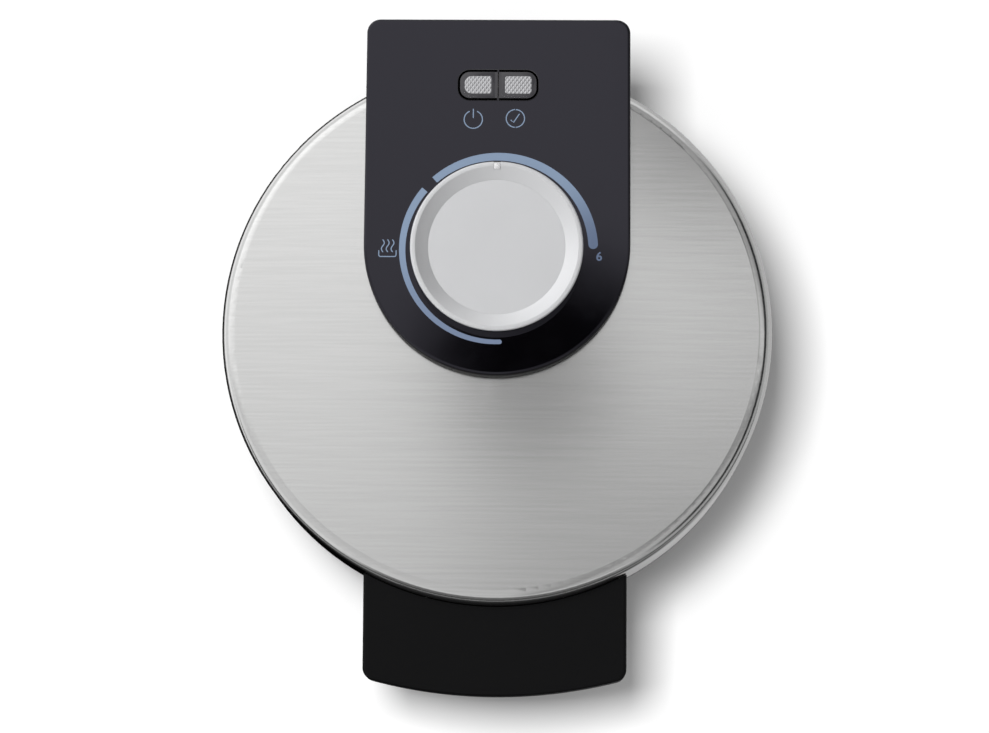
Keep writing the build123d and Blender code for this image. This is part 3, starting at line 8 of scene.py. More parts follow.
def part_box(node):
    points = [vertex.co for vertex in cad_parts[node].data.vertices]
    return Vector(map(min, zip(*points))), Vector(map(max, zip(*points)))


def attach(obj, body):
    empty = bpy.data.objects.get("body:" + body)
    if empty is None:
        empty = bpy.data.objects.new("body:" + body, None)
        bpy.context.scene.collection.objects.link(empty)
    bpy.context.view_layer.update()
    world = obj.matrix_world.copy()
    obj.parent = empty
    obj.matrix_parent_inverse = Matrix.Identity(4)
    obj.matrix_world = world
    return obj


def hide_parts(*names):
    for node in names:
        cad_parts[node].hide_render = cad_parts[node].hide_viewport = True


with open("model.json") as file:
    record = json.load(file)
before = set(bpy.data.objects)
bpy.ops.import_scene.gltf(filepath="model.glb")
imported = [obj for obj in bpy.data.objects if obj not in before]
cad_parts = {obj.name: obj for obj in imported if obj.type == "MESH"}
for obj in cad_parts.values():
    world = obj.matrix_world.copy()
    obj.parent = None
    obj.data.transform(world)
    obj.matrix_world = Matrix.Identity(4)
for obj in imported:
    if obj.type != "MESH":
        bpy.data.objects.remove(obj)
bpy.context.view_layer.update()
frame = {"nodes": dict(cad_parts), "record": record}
nodes = frame["nodes"]
mm = 0.001
print("frame loaded:", len(nodes), "nodes")

# places taken from the frame: middle of the round body, top of the panel, dial and its disc
ringLow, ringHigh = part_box("lid_frame")
bodyY = (ringLow.y + ringHigh.y) / 2
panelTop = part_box("control_panel")[1].z
dialLow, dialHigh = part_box("dial")
dialRadius = (dialHigh.x - dialLow.x) / 2
dialTop = dialHigh.z
discLow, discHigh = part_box("dial_cap")
discRadius = (discHigh.x - discLow.x) / 2
dialY = (discLow.y + discHigh.y) / 2


# camera of the photo, as fitted to the round lid, with its turns in degrees
camera = {
    "spot": (19.82 * mm, bodyY - 225.23 * mm, 1260.4 * mm),
    "pitch": 10.053,
    "yaw": 0.989,
    "roll": 0.316,
    "focalPixels": 2748.1,
    "framePixels": 989,
    "sensor": 36.0,
    "clip": (0.05, 20),
}


def placeCamera():
    data = bpy.data.cameras.new("photoCamera")
    data.sensor_width = camera["sensor"]
    data.lens = camera["focalPixels"] / camera["framePixels"] * camera["sensor"]
    data.clip_start, data.clip_end = camera["clip"]
    holder = bpy.data.objects.new("photoCamera", data)
    bpy.context.scene.collection.objects.link(holder)
    turn = (
        Matrix.Rotation(math.radians(camera["pitch"]), 4, "X")
        @ Matrix.Rotation(math.radians(camera["yaw"]), 4, "Y")
        @ Matrix.Rotation(math.radians(camera["roll"]), 4, "Z")
    )
    holder.matrix_world = Matrix.Translation(camera["spot"]) @ turn
    bpy.context.scene.camera = holder


# shader maths on sockets
class Wire:
    def __init__(self, tree, socket):
        self.tree = tree
        self.socket = socket

    def maths(self, operation, first, second=0.0):
        values = {0: first, 1: second}
        return makeNode(self.tree, "ShaderNodeMath", {"operation": operation}, values)

    def __add__(self, other):
        return self.maths("ADD", self, other)

    def __radd__(self, other):
        return self.maths("ADD", other, self)

    def __sub__(self, other):
        return self.maths("SUBTRACT", self, other)

    def __rsub__(self, other):
        return self.maths("SUBTRACT", other, self)

    def __mul__(self, other):
        return self.maths("MULTIPLY", self, other)

    def __rmul__(self, other):
        return self.maths("MULTIPLY", other, self)

    def __truediv__(self, other):
        return self.maths("DIVIDE", self, other)

    def largest(self, other):
        return self.maths("MAXIMUM", self, other)

    def between(self, low, high, start=0.0, end=1.0):
        # a soft ramp from start at low to end at high
        settings = {"interpolation_type": "SMOOTHSTEP"}
        values = {"Value": self, "From Min": low, "From Max": high, "To Min": start, "To Max": end}
        return makeNode(self.tree, "ShaderNodeMapRange", settings, values)

    def around(self, middle, swing):
        # noise that swings about a value
        return middle + (self - 0.5) * swing

    def reach(self, other):
        # distance from the middle by two axes
        return self.maths("SQRT", self * self + other * other)

    def axes(self):
        split = makeNode(self.tree, "ShaderNodeSeparateXYZ", None, {0: self}).socket.node
        return [Wire(self.tree, output) for output in split.outputs]

    def beside(self, output):
        # another output of the same node
        return Wire(self.tree, self.socket.node.outputs[output])


def makeNode(tree, kind, settings=None, values=None, output=0):
    made = tree.nodes.new(kind)
    for key, value in (settings or {}).items():
        setattr(made, key, value)
    for key, value in (values or {}).items():
        if isinstance(value, Wire):
            tree.links.new(value.socket, made.inputs[key])
        else:
            made.inputs[key].default_value = value
    if made.outputs:
        return Wire(tree, made.outputs[output])


class Finish:
    def __init__(self, name):
        self.material = bpy.data.materials.new(name)
        self.material.use_nodes = True
        self.tree = self.material.node_tree
        self.tree.nodes.clear()

    def node(self, kind, settings=None, values=None, output=0):
        return makeNode(self.tree, kind, settings, values, output)

    def place(self, spread=(1, 1, 1)):
        where = self.node("ShaderNodeTexCoord", output="Object")
        return self.node("ShaderNodeMapping", None, {"Vector": where, "Scale": spread})

    def upright(self):
        # how far a surface faces up: 1 on a level top, 0 on a wall
        return self.node("ShaderNodeTexCoord", output="Normal").axes()[2]

    def noise(self, size, detail=2.0, rough=0.5, spread=(1, 1, 1)):
        where = self.place(spread)
        values = {"Vector": where, "Scale": size, "Detail": detail, "Roughness": rough}
        return self.node("ShaderNodeTexNoise", None, values)

    def tint(self, share, first, second):
        first, second = [c if isinstance(c, Wire) else (*c, 1) for c in (first, second)]
        values = {0: share, 6: first, 7: second}
        return self.node("ShaderNodeMix", {"data_type": "RGBA"}, values, output=2)

    def bump(self, height, depth):
        values = {"Height": height, "Distance": depth, "Strength": 1.0}
        return self.node("ShaderNodeBump", None, values)

    def shader(self, values):
        return self.node("ShaderNodeBsdfPrincipled", None, values)

    def over(self, share, under, upper):
        return self.node("ShaderNodeMixShader", None, {0: share, 1: under, 2: upper})

    def done(self, shader):
        self.node("ShaderNodeOutputMaterial", None, {"Surface": shader})
        return self.material


# steel of the lid, brushed straight across: the brushing spreads what it mirrors along Y more
# than along X, so the finish is two mirrors that lean a little, one to the front and one to
# the back, and a dull one over both that fades out on the upright wall
steelLook = {
    "colors": ((0.835, 0.835, 0.83), (0.795, 0.795, 0.79)),
    "colorFrom": (0.3, 0.7),
    "lean": 0.010,
    "rough": 0.14,
    "secondShare": 0.5,
    "dullRough": 0.42,
    "dullShare": 0.16,
    "dullFrom": (0.05, 0.5),
    "streaks": 1000,
    "streakDetail": 4.0,
    "streakRun": 0.016,
    "streakLean": 0.0018,
    "levelFrom": (0.1, 0.6),
    "cloud": 9,
    "cloudSwing": 0.02,
}


def leaningMirror(finish, color, lean, rough):
    turned = {"vector_type": "VECTOR", "convert_from": "OBJECT", "convert_to": "WORLD"}
    tilt = finish.node("ShaderNodeCombineXYZ", None, {1: lean})
    tilt = finish.node("ShaderNodeVectorTransform", turned, {0: tilt})
    facing = finish.node("ShaderNodeNewGeometry", output="Normal")
    summed = finish.node("ShaderNodeVectorMath", {"operation": "ADD"}, {0: facing, 1: tilt})
    normal = finish.node("ShaderNodeVectorMath", {"operation": "NORMALIZE"}, {0: summed})
    values = {"Base Color": color, "Metallic": 1.0, "Roughness": rough, "Normal": normal}
    return finish.shader(values)


def brushedSteel():
    finish = Finish("brushedSteel")
    look = steelLook
    # lines run along X over the top and level round the wall
    x, y, z = finish.place().axes()
    upright = finish.upright()
    run = look["streakRun"]
    along = {0: x * run, 1: y * upright.between(*look["levelFrom"], run, 1.0), 2: z}
    along = finish.node("ShaderNodeCombineXYZ", None, along)
    lines = {"Vector": along, "Scale": look["streaks"], "Detail": look["streakDetail"]}
    streak = finish.node("ShaderNodeTexNoise", None, lines)
    color = finish.tint(streak.between(*look["colorFrom"]), *look["colors"])
    wander = streak.around(0.0, 2 * look["streakLean"])
    cloud = finish.noise(look["cloud"])
    rough = cloud.around(look["rough"], look["cloudSwing"])
    first = leaningMirror(finish, color, wander - look["lean"], rough)
    second = leaningMirror(finish, color, wander + look["lean"], rough)
    dull = leaningMirror(finish, color, wander, cloud.around(look["dullRough"], look["cloudSwing"]))
    both = finish.over(look["secondShare"], first, second)
    share = upright.between(*look["dullFrom"], 0.0, look["dullShare"])
    return finish.done(finish.over(share, both, dull))


# gloss black of the panel: polished on top, dull on its sides
glossLook = {
    "colors": ((0.0006, 0.0005, 0.0008), (0.0009, 0.0008, 0.0012)),
    "wave": (26, 2.0, 0.5),
    "waveDepth": 0.00002,
    "mist": (60, 3.0, 0.6),
    "mistFrom": (0.4, 0.8),
    "mistRough": 0.02,
    "rough": 0.05,
    "shine": 0.64,
    # painted reflection colour: a violet tint on the reflections, standing in for the tint of the
    # studio light
    "paintedReflectionTint": (0.81, 0.79, 0.96, 1.0),
    "sideRough": 0.5,
    "sideSwing": 0.1,
    "sideShine": 0.04,
    "topFrom": (0.25, 0.6),
}


def glossBlack():
    finish = Finish("glossBlack")
    look = glossLook
    mist = finish.noise(*look["mist"])
    color = finish.tint(mist, *look["colors"])
    polished = {
        "Base Color": color,
        "Roughness": look["rough"] + mist.between(*look["mistFrom"]) * look["mistRough"],
        "Specular IOR Level": look["shine"],
        # painted reflection colour on the polished top
        "Specular Tint": look["paintedReflectionTint"],
        "Normal": finish.bump(finish.noise(*look["wave"]), look["waveDepth"]),
    }
    dull = {
        "Base Color": color,
        "Roughness": mist.around(look["sideRough"], look["sideSwing"]),
        "Specular IOR Level": look["sideShine"],
    }
    top = finish.upright().between(*look["topFrom"])
    return finish.done(finish.over(top, finish.shader(dull), finish.shader(polished)))


# grey-blue ink of the scale and signs, with painted light on it: paler to the back, and darker at
# the scale's wide end as painted shade
inkWithPaintedLightLook = {
    # the ink's grey-blue with painted light: deeper to the front, paler to the back
    "front": (0.13, 0.17, 0.255),
    "back": (0.18, 0.24, 0.335),
    # painted shade on the ink at the scale's wide end
    "end": (0.085, 0.115, 0.185),
    "paintedLightFrom": (bodyY - 6 * mm, bodyY + 40 * mm),
    "paintedShadeAside": (20 * mm, 44 * mm),
    "paintedShadeBack": (bodyY + 34 * mm, bodyY + 72 * mm, 1.0, 0.0),
    "grain": (900, 2.0, 0.5),
    "rough": 0.38,
    "swing": 0.1,
}


def inkWithPaintedLight():
    finish = Finish("inkWithPaintedLight")
    look = inkWithPaintedLightLook
    x, y = finish.place().axes()[:2]
    # painted light: the ink paler towards the back
    color = finish.tint(y.between(*look["paintedLightFrom"]), look["front"], look["back"])
    # painted shade: the ink darker by the scale's wide end
    end = x.between(*look["paintedShadeAside"]) * y.between(*look["paintedShadeBack"])
    values = {
        "Base Color": finish.tint(end, color, look["end"]),
        "Roughness": finish.noise(*look["grain"]).around(look["rough"], look["swing"]),
    }
    return finish.done(finish.shader(values))


# the other finishes: a fine grain and mostly a broad cloud. The cloud, or else the grain, mixes
# two colours, and swing is how far the grain moves the roughness. A noise is its size, detail,
# roughness and spread, and depth is the bump's
blackMoulding = {"cloud": (14, 2.0, 0.5), "swing": 0.12}
satinSilver = {
    "cloud": (30, 2.0, 0.5),
    "grain": (5200, 2.0, 0.6),
    "swing": 0.12,
    "depth": 0.00006,
    "shader": {"Metallic": 0.85},
}
plainMetal = {
    "cloud": (40, 3.0, 0.5),
    "grain": (1200, 3.0, 0.6, (0.2, 1, 1)),
    "swing": 0.2,
    "depth": 0.00005,
    "shader": {"Metallic": 1.0},
}
softRubber = {
    "colors": ((0.018, 0.018, 0.018), (0.03, 0.03, 0.03)),
    "grain": (1800, 3.0, 0.6),
    "rough": 0.78,
    "swing": 0.15,
    "depth": 0.00012,
    "shader": {"Specular IOR Level": 0.3},
}
paleMoulding = {"grain": (700, 3.0, 0.6), "swing": 0.15, "depth": 0.00006}

grainLooks = {
    "base_plastic": {
        **blackMoulding,
        "name": "basePlastic",
        "colors": ((0.007, 0.007, 0.0074), (0.0105, 0.0105, 0.0111)),
        "grain": (2400, 3.0, 0.6),
        "rough": 0.46,
        "depth": 0.00010,
        "shader": {"Specular IOR Level": 0.35},
    },
    "handle_plastic": {
        **blackMoulding,
        "name": "handlePlastic",
        "colors": ((0.0020, 0.0020, 0.0022), (0.0030, 0.0030, 0.0033)),
        "grain": (3000, 3.0, 0.6),
        "rough": 0.38,
        "depth": 0.00005,
        "shader": {"Specular IOR Level": 0.13},
    },
    "dial_metal": {
        **satinSilver,
        "name": "dialMetal",
        "colors": ((0.86, 0.865, 0.88), (0.8084, 0.8131, 0.8272)),
        "rough": 0.34,
    },
    "marker_chrome": {
        **satinSilver,
        "name": "markerSilver",
        "colors": ((0.97, 0.97, 0.98), (0.9118, 0.9118, 0.9212)),
        "rough": 0.28,
    },
    "window_lens": {
        "name": "smokeLens",
        "colors": ((0.028, 0.027, 0.031), (0.036, 0.035, 0.039)),
        "grain": (300, 2.0, 0.5),
        "rough": 0.22,
        "swing": 0.06,
        "shader": {"Specular IOR Level": 0.5, "Coat Weight": 0.3, "Coat Roughness": 0.08},
    },
    "window_diffuser": {
        "name": "silverFacets",
        "colors": ((0.62, 0.62, 0.64), (0.8, 0.8, 0.82)),
        "grain": (900, 2.0, 0.5),
        "rough": 0.16,
        "swing": 0.1,
        "shader": {"Metallic": 0.85},
    },
    "plate_coating": {
        "name": "plateCoating",
        "colors": ((0.022, 0.021, 0.022), (0.04, 0.038, 0.038)),
        "cloud": (22, 3.0, 0.5),
        "grain": (2600, 3.0, 0.6),
        "rough": 0.42,
        "swing": 0.2,
        "depth": 0.00008,
    },
    "steel_parts": {
        **plainMetal,
        "name": "steelParts",
        "colors": ((0.56, 0.56, 0.55), (0.448, 0.448, 0.44)),
        "rough": 0.34,
    },
    "screws": {
        **plainMetal,
        "name": "screwSteel",
        "colors": ((0.6, 0.6, 0.6), (0.48, 0.48, 0.48)),
        "rough": 0.3,
    },
    "element_tube": {
        **plainMetal,
        "name": "elementTube",
        "colors": ((0.14, 0.13, 0.12), (0.112, 0.104, 0.096)),
        "rough": 0.5,
        "shader": {"Metallic": 0.7},
    },
    "reflector_metal": {
        **plainMetal,
        "name": "reflectorMetal",
        "colors": ((0.78, 0.78, 0.79), (0.624, 0.624, 0.632)),
        "rough": 0.22,
    },
    "sensor_copper": {
        **plainMetal,
        "name": "sensorCopper",
        "colors": ((0.78, 0.44, 0.28), (0.624, 0.352, 0.224)),
        "rough": 0.26,
    },
    "foot_rubber": {**softRubber, "name": "footRubber"},
    "gland_rubber": {**softRubber, "name": "glandRubber"},
    "terminal_plastic": {
        **paleMoulding,
        "name": "terminalPlastic",
        "colors": ((0.72, 0.7, 0.62), (0.6336, 0.616, 0.5456)),
        "rough": 0.45,
    },
    "thermostat_ceramic": {
        **paleMoulding,
        "name": "thermostatCeramic",
        "colors": ((0.68, 0.6, 0.5), (0.5984, 0.528, 0.44)),
        "rough": 0.6,
    },
    "lamp_glass": {
        "name": "lampGlass",
        "colors": ((0.8, 0.42, 0.16), (0.9, 0.55, 0.25)),
        "grain": (500, 2.0, 0.5),
        "rough": 0.12,
        "swing": 0.05,
        "shader": {"Coat Weight": 0.5},
    },
}


def grained(look):
    finish = Finish(look["name"])
    grain = finish.noise(*look["grain"])
    cloud = finish.noise(*look["cloud"]) if "cloud" in look else grain
    values = {
        "Base Color": finish.tint(cloud, *look["colors"]),
        "Roughness": grain.around(look["rough"], look["swing"]),
        **look.get("shader", {}),
    }
    if "depth" in look:
        values["Normal"] = finish.bump(grain, look["depth"])
    return finish.done(finish.shader(values))


finishes = {slot: grained(look) for slot, look in grainLooks.items()}
finishes["lid_steel"] = brushedSteel()
finishes["panel_gloss"] = glossBlack()
inkWithPaintedLightFinish = inkWithPaintedLight()

for row in frame["record"]["subparts"]:
    for holder in nodes[row["node"]].material_slots:
        holder.material = finishes[row["material_slot"]]
print("finishes given:", len(finishes))


# modelling helpers
def pick(piece):
    bpy.ops.object.select_all(action="DESELECT")
    piece.select_set(True)
    bpy.context.view_layer.objects.active = piece


def drawChain(points):
    # one vertex, extruded from point to point, left in edit mode
    bpy.ops.mesh.primitive_plane_add(size=mm, location=points[0])
    piece = bpy.context.active_object
    bpy.ops.object.mode_set(mode="EDIT")
    bpy.ops.mesh.select_all(action="SELECT")
    bpy.ops.mesh.merge(type="CENTER")
    for before, after in zip(points, points[1:]):
        step = [b - a for a, b in zip(before, after)]
        bpy.ops.mesh.extrude_region_move(TRANSFORM_OT_translate={"value": step})
    return piece


def closeSolid(doubles=0.001 * mm):
    bpy.ops.mesh.select_all(action="SELECT")
    bpy.ops.mesh.remove_doubles(threshold=doubles)
    bpy.ops.mesh.normals_make_consistent(inside=False)
    bpy.ops.object.mode_set(mode="OBJECT")


def fillOutline(outline, level, rise):
    # a closed outline at a level, filled and raised, with its top left selected
    piece = drawChain([(x, y, level) for x, y in outline])
    bpy.ops.mesh.select_all(action="SELECT")
    bpy.ops.mesh.edge_face_add()
    bpy.ops.mesh.normals_make_consistent(inside=False)
    bpy.ops.mesh.extrude_region_move(TRANSFORM_OT_translate={"value": (0, 0, rise)})
    return piece


def arcPoints(centre, radius, start, end, steps):
    turns = [math.radians(start + (end - start) * step / steps) for step in range(steps + 1)]
    return [(centre[0] + radius * math.cos(t), centre[1] + radius * math.sin(t)) for t in turns]


def addBlock(centre, size):
    bpy.ops.mesh.primitive_cube_add(size=1, location=centre)
    block = bpy.context.active_object
    block.scale = size
    bpy.ops.object.transform_apply(location=True, rotation=True, scale=True)
    return block


def cutWith(piece, cutter, operation="DIFFERENCE"):
    pick(piece)
    cut = piece.modifiers.new("cut", "BOOLEAN")
    cut.operation = operation
    cut.solver = "EXACT"
    cut.object = cutter
    bpy.ops.object.modifier_apply(modifier=cut.name)
    bpy.data.objects.remove(cutter)


def settle(piece, name, body, finish, replaced=None, angle=32):
    # the piece at the origin, smooth up to an angle, with its finish, hung on its body, and with
    # the CAD part it replaces hidden
    pick(piece)
    bpy.ops.object.transform_apply(location=True, rotation=True, scale=True)
    bpy.ops.object.shade_smooth_by_angle(angle=math.radians(angle))
    piece.name = name
    piece.data.name = name
    piece.data.materials.clear()
    piece.data.materials.append(finish)
    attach(piece, body)
    if replaced:
        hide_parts(replaced)


# dial: a rim rounded over its top, a bevel down to the disc, a notch at twelve
dialShape = {
    "around": 192,
    "hub": 6.0 * mm,
    "wall": 1.8 * mm,
    "flare": 1.2 * mm,
    "skirtGap": 0.6 * mm,
    "skirtBreak": 0.2 * mm,
    "rimTop": 2.0 * mm,
    "rimRound": 0.75 * mm,
    "rimOuter": (-8, 90, 7),  # start and end in degrees, and steps
    "rimInner": (90, 128, 4),
    "bevelFoot": 0.30 * mm,
    "bevelRise": 0.4,
    "gap": 0.02 * mm,
    "discBreak": 0.04 * mm,
    "doubles": 0.002 * mm,
    "notchWidth": 3.1 * mm,
    "notchFrom": 33.9 * mm,
    "notchDeep": 1.3 * mm,
    "notchOver": 2.0 * mm,
    "smooth": 24,
}
markShape = {
    "width": 2.9 * mm,
    "from": 33.95 * mm,
    "to": 36.7 * mm,
    "round": 0.22 * mm,
    "roundSteps": 3,
    "sink": 0.12 * mm,
    "below": 0.3 * mm,
    "smooth": 40,
}


def spinProfile(profile):
    # half a section, radius and height, spun about the dial's axis
    piece = drawChain([(radius, dialY, height) for radius, height in profile])
    centre = (0, dialY, 0)
    steps = dialShape["around"]
    bpy.ops.mesh.select_all(action="SELECT")
    bpy.ops.mesh.spin(steps=steps, angle=2 * math.pi, center=centre, axis=(0, 0, 1))
    closeSolid(dialShape["doubles"])
    return piece


def makeDial():
    shape = dialShape
    skirt = panelTop + shape["skirtGap"]
    seat = discLow.z
    under = seat - shape["wall"]
    waist = dialRadius - shape["flare"]
    inner = waist - shape["wall"]
    profile = [(0, dialLow.z), (shape["hub"], dialLow.z), (shape["hub"], under)]
    profile += [(inner, under), (inner, skirt)]
    profile += [(waist - shape["skirtBreak"], skirt), (waist, skirt + shape["skirtBreak"])]
    curve = shape["rimRound"]
    level = dialTop - curve
    profile += arcPoints((dialRadius - curve, level), curve, *shape["rimOuter"])
    profile += arcPoints((dialRadius - shape["rimTop"], level), curve, *shape["rimInner"])
    foot = shape["bevelFoot"]
    inside = discRadius + shape["gap"]
    profile += [(discRadius + foot, discHigh.z + foot * shape["bevelRise"])]
    profile += [(inside, discHigh.z), (inside, seat), (0, seat)]
    piece = spinProfile(profile)
    over = shape["notchOver"]
    middle = (shape["notchFrom"] + dialRadius + over) / 2
    centre = (0, dialY + middle, dialTop - shape["notchDeep"] + over)
    size = (shape["notchWidth"], dialRadius + over - shape["notchFrom"], 2 * over)
    cutWith(piece, addBlock(centre, size))
    silver = finishes["dial_metal"]
    settle(piece, "dialBody", "dial", silver, "dial", shape["smooth"])


def makeDisc():
    edge = dialShape["discBreak"]
    low, high = discLow.z, discHigh.z
    profile = [(0, low), (discRadius, low), (discRadius, high - edge)]
    profile += [(discRadius - edge, high), (0, high)]
    piece = spinProfile(profile)
    silver = finishes["dial_metal"]
    settle(piece, "dialDisc", "dial", silver, "dial_cap", dialShape["smooth"])


def makeMark():
    # a small polished block with rounded edges, set in the notch
    shape = markShape
    foot = dialTop - dialShape["notchDeep"] - shape["below"]
    top = dialTop - shape["sink"]
    centre = (0, dialY + (shape["from"] + shape["to"]) / 2, (foot + top) / 2)
    piece = addBlock(centre, (shape["width"], shape["to"] - shape["from"], top - foot))
    soft = piece.modifiers.new("soft", "BEVEL")
    soft.width = shape["round"]
    soft.segments = shape["roundSteps"]
    bpy.ops.object.modifier_apply(modifier=soft.name)
    silver = finishes["marker_chrome"]
    settle(piece, "dialMark", "dial", silver, "dial_marker", shape["smooth"])


makeDial()
makeDisc()
makeMark()
print("dial made")


# indicator windows: two halves of one smoked body with a raised lip, and a faceted insert
# in each, all inside the CAD's lenses
windowShape = {
    "corner": 5.5 * mm,
    "cornerSteps": 8,
    "wall": 0.30 * mm,
    # insets of the lip, each its width and rise
    "lip": (
        (0.22 * mm, 0.30 * mm),
        (0.32 * mm, 0.14 * mm),
        (0.45 * mm, 0.0),
        (0.50 * mm, -0.24 * mm),
    ),
    # left and right edge, and the corners' radius at each
    "leftHole": (-14.7 * mm, -3.1 * mm, 3.0 * mm, 0.9 * mm),
    "rightHole": (3.0 * mm, 14.5 * mm, 1.0 * mm, 1.2 * mm),
    "holeHalf": 3.9 * mm,
    "holeBelow": 1.0 * mm,
    "holeTall": 4.0 * mm,
    "smooth": 38,
    "facetWide": 1.75 * mm,
    "facetTall": 2.3 * mm,
    "facetRise": 0.42 * mm,
    "facetSink": 0.34 * mm,
    "facetRow": 12,
    "facetSmooth": 8,
    "floorDeep": 1.2 * mm,
    "trimTall": 3.0 * mm,
}


def roundedOutline(left, right, low, high, leftRound, rightRound):
    corners = [
        (left, low, leftRound, 1, 1, 180),
        (right, low, rightRound, -1, 1, 270),
        (right, high, rightRound, -1, -1, 0),
        (left, high, leftRound, 1, -1, 90),
    ]
    steps = windowShape["cornerSteps"]
    outline = []
    for x, y, radius, inX, inY, turn in corners:
        if radius:
            centre = (x + inX * radius, y + inY * radius)
            outline += arcPoints(centre, radius, turn, turn + 90, steps)
        else:
            outline.append((x, y))
    return outline


def holePrism(hole, middle, level, rise):
    left, right, leftRound, rightRound = hole
    low, high = middle - windowShape["holeHalf"], middle + windowShape["holeHalf"]
    outline = roundedOutline(left, right, low, high, leftRound, rightRound)
    piece = fillOutline(outline, level, rise)
    closeSolid()
    return piece


def makeLens(node, name, hole, rounds):
    shape = windowShape
    low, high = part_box(node)
    outline = roundedOutline(low.x, high.x, low.y, high.y, *rounds)
    piece = fillOutline(outline, panelTop, shape["wall"])
    for thickness, depth in shape["lip"]:
        bpy.ops.mesh.inset(thickness=thickness, depth=depth)
    closeSolid()
    middle = (low.y + high.y) / 2
    cutWith(piece, holePrism(hole, middle, panelTop - shape["holeBelow"], shape["holeTall"]))
    settle(piece, name, "lid", finishes["window_lens"], node, shape["smooth"])


def makeFacets(lens, node, name, hole):
    # a grid turned to diamonds, each drawn up to a point, on a flat floor
    shape = windowShape
    low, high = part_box(lens)
    deep = shape["floorDeep"]
    row = shape["facetRow"]
    level = high.z - shape["facetSink"] - shape["facetRise"]
    spot = ((hole[0] + hole[1]) / 2, (low.y + high.y) / 2, level)
    bpy.ops.mesh.primitive_grid_add(
        x_subdivisions=row, y_subdivisions=row, size=row * mm, location=spot
    )
    facets = bpy.context.active_object
    facets.rotation_euler.z = math.radians(45)
    bpy.ops.object.transform_apply(location=False, rotation=True, scale=False)
    diagonal = math.sqrt(2) * mm
    facets.scale = (shape["facetWide"] / diagonal, shape["facetTall"] / diagonal, 1)
    bpy.ops.object.transform_apply(location=True, rotation=True, scale=True)
    bpy.ops.object.mode_set(mode="EDIT")
    bpy.ops.mesh.select_all(action="SELECT")
    bpy.ops.mesh.poke(offset=shape["facetRise"])
    bpy.ops.mesh.select_all(action="SELECT")
    bpy.ops.mesh.extrude_region_move(TRANSFORM_OT_translate={"value": (0, 0, -2 * deep)})
    bpy.ops.transform.resize(value=(1, 1, 0), center_override=(spot[0], spot[1], level - deep))
    closeSolid()
    prism = holePrism(hole, spot[1], level - 0.5 * deep, shape["trimTall"])
    cutWith(facets, prism, "INTERSECT")
    silver = finishes["window_diffuser"]
    settle(facets, name, "lid", silver, node, shape["facetSmooth"])


corner = windowShape["corner"]
makeLens("left_lens", "windowLeft", windowShape["leftHole"], (corner, 0))
makeFacets("left_lens", "left_diffuser", "facetsLeft", windowShape["leftHole"])
makeLens("right_lens", "windowRight", windowShape["rightHole"], (0, corner))
makeFacets("right_lens", "right_diffuser", "facetsRight", windowShape["rightHole"])
print("windows made")


# printed signs on the panel, each a thin flat plate
signs = {"thick": 0.04 * mm, "line": 0.45 * mm, "endSteps": 6}


def flatSign(name, outlines):
    parts = []
    for outline in outlines:
        parts.append(fillOutline(outline, panelTop, signs["thick"]))
        closeSolid()
    pick(parts[0])
    for part in parts:
        part.select_set(True)
    if len(parts) > 1:
        bpy.ops.object.join()
    settle(parts[0], name, "lid", inkWithPaintedLightFinish)


def roundEnd(tip, before):
    heading = math.degrees(math.atan2(tip[1] - before[1], tip[0] - before[0]))
    ends = (heading + 90, heading - 90)
    return arcPoints(tip, signs["line"] / 2, *ends, signs["endSteps"])[1:-1]


def strokeOutline(points):
    # a line with round ends, drawn as a closed outline
    left, right = [], []
    for index, (x, y) in enumerate(points):
        ahead = points[min(index + 1, len(points) - 1)]
        behind = points[max(index - 1, 0)]
        along = Vector((ahead[0] - behind[0], ahead[1] - behind[1])).normalized()
        side = Vector((-along.y, along.x)) * signs["line"] / 2
        left.append((x + side.x, y + side.y))
        right.append((x - side.x, y - side.y))
    outline = left + roundEnd(points[-1], points[-2]) + right[::-1]
    return outline + roundEnd(points[0], points[1])


# the dial's scale, by its turns in degrees: thin at its start, wide at its end, with one gap
scaleMarks = {
    "inner": 39.7 * mm,
    "startWidth": 2.0 * mm,
    "endWidth": 4.2 * mm,
    "start": -88.0,
    "gap": (-220.0, -228.5),
    "end": -356.5,
    "stepTurn": 3,
    "fewestSteps": 12,
    "endSteps": 10,
}


def scaleEnd(first, second):
    centre = ((first[0] + second[0]) / 2, (first[1] + second[1]) / 2)
    radius = math.dist(first, second) / 2
    start = math.degrees(math.atan2(first[1] - centre[1], first[0] - centre[0]))
    return arcPoints(centre, radius, start, start + 180, scaleMarks["endSteps"])[1:-1]


def scaleOutline(first, last, roundFirst, roundLast):
    shape = scaleMarks
    sweep = shape["end"] - shape["start"]
    growth = shape["endWidth"] - shape["startWidth"]
    steps = max(shape["fewestSteps"], int(abs(last - first) / shape["stepTurn"]))
    inner, outer = [], []
    for step in range(steps + 1):
        angle = first + (last - first) * step / steps
        reach = shape["inner"] + shape["startWidth"] + growth * (angle - shape["start"]) / sweep
        turn = math.radians(angle)
        for edge, radius in ((inner, shape["inner"]), (outer, reach)):
            edge.append((radius * math.cos(turn), dialY + radius * math.sin(turn)))
    outline = list(inner)
    if roundLast:
        outline += scaleEnd(inner[-1], outer[-1])
    outline += outer[::-1]
    if roundFirst:
        outline += scaleEnd(outer[0], inner[0])
    return outline


def makeScale():
    shape = scaleMarks
    before, after = shape["gap"]
    flatSign("scaleThin", [scaleOutline(shape["start"], before, True, False)])
    flatSign("scaleWide", [scaleOutline(after, shape["end"], False, True)])


# signs under the windows: a broken ring with a bar, and a ring with a tick
statusSigns = {
    "powerAt": (-10.8 * mm, 90.8 * mm),
    "readyAt": (7.6 * mm, 91.3 * mm),
    "ring": 4.0 * mm,
    "ringGap": 26.0,
    "ringSteps": 40,
    "halfSteps": 24,
    "bar": (0.8 * mm, 4.6 * mm),
    "tick": ((-1.94 * mm, -0.73 * mm), (-0.81 * mm, -1.78 * mm), (1.7 * mm, 1.94 * mm)),
}


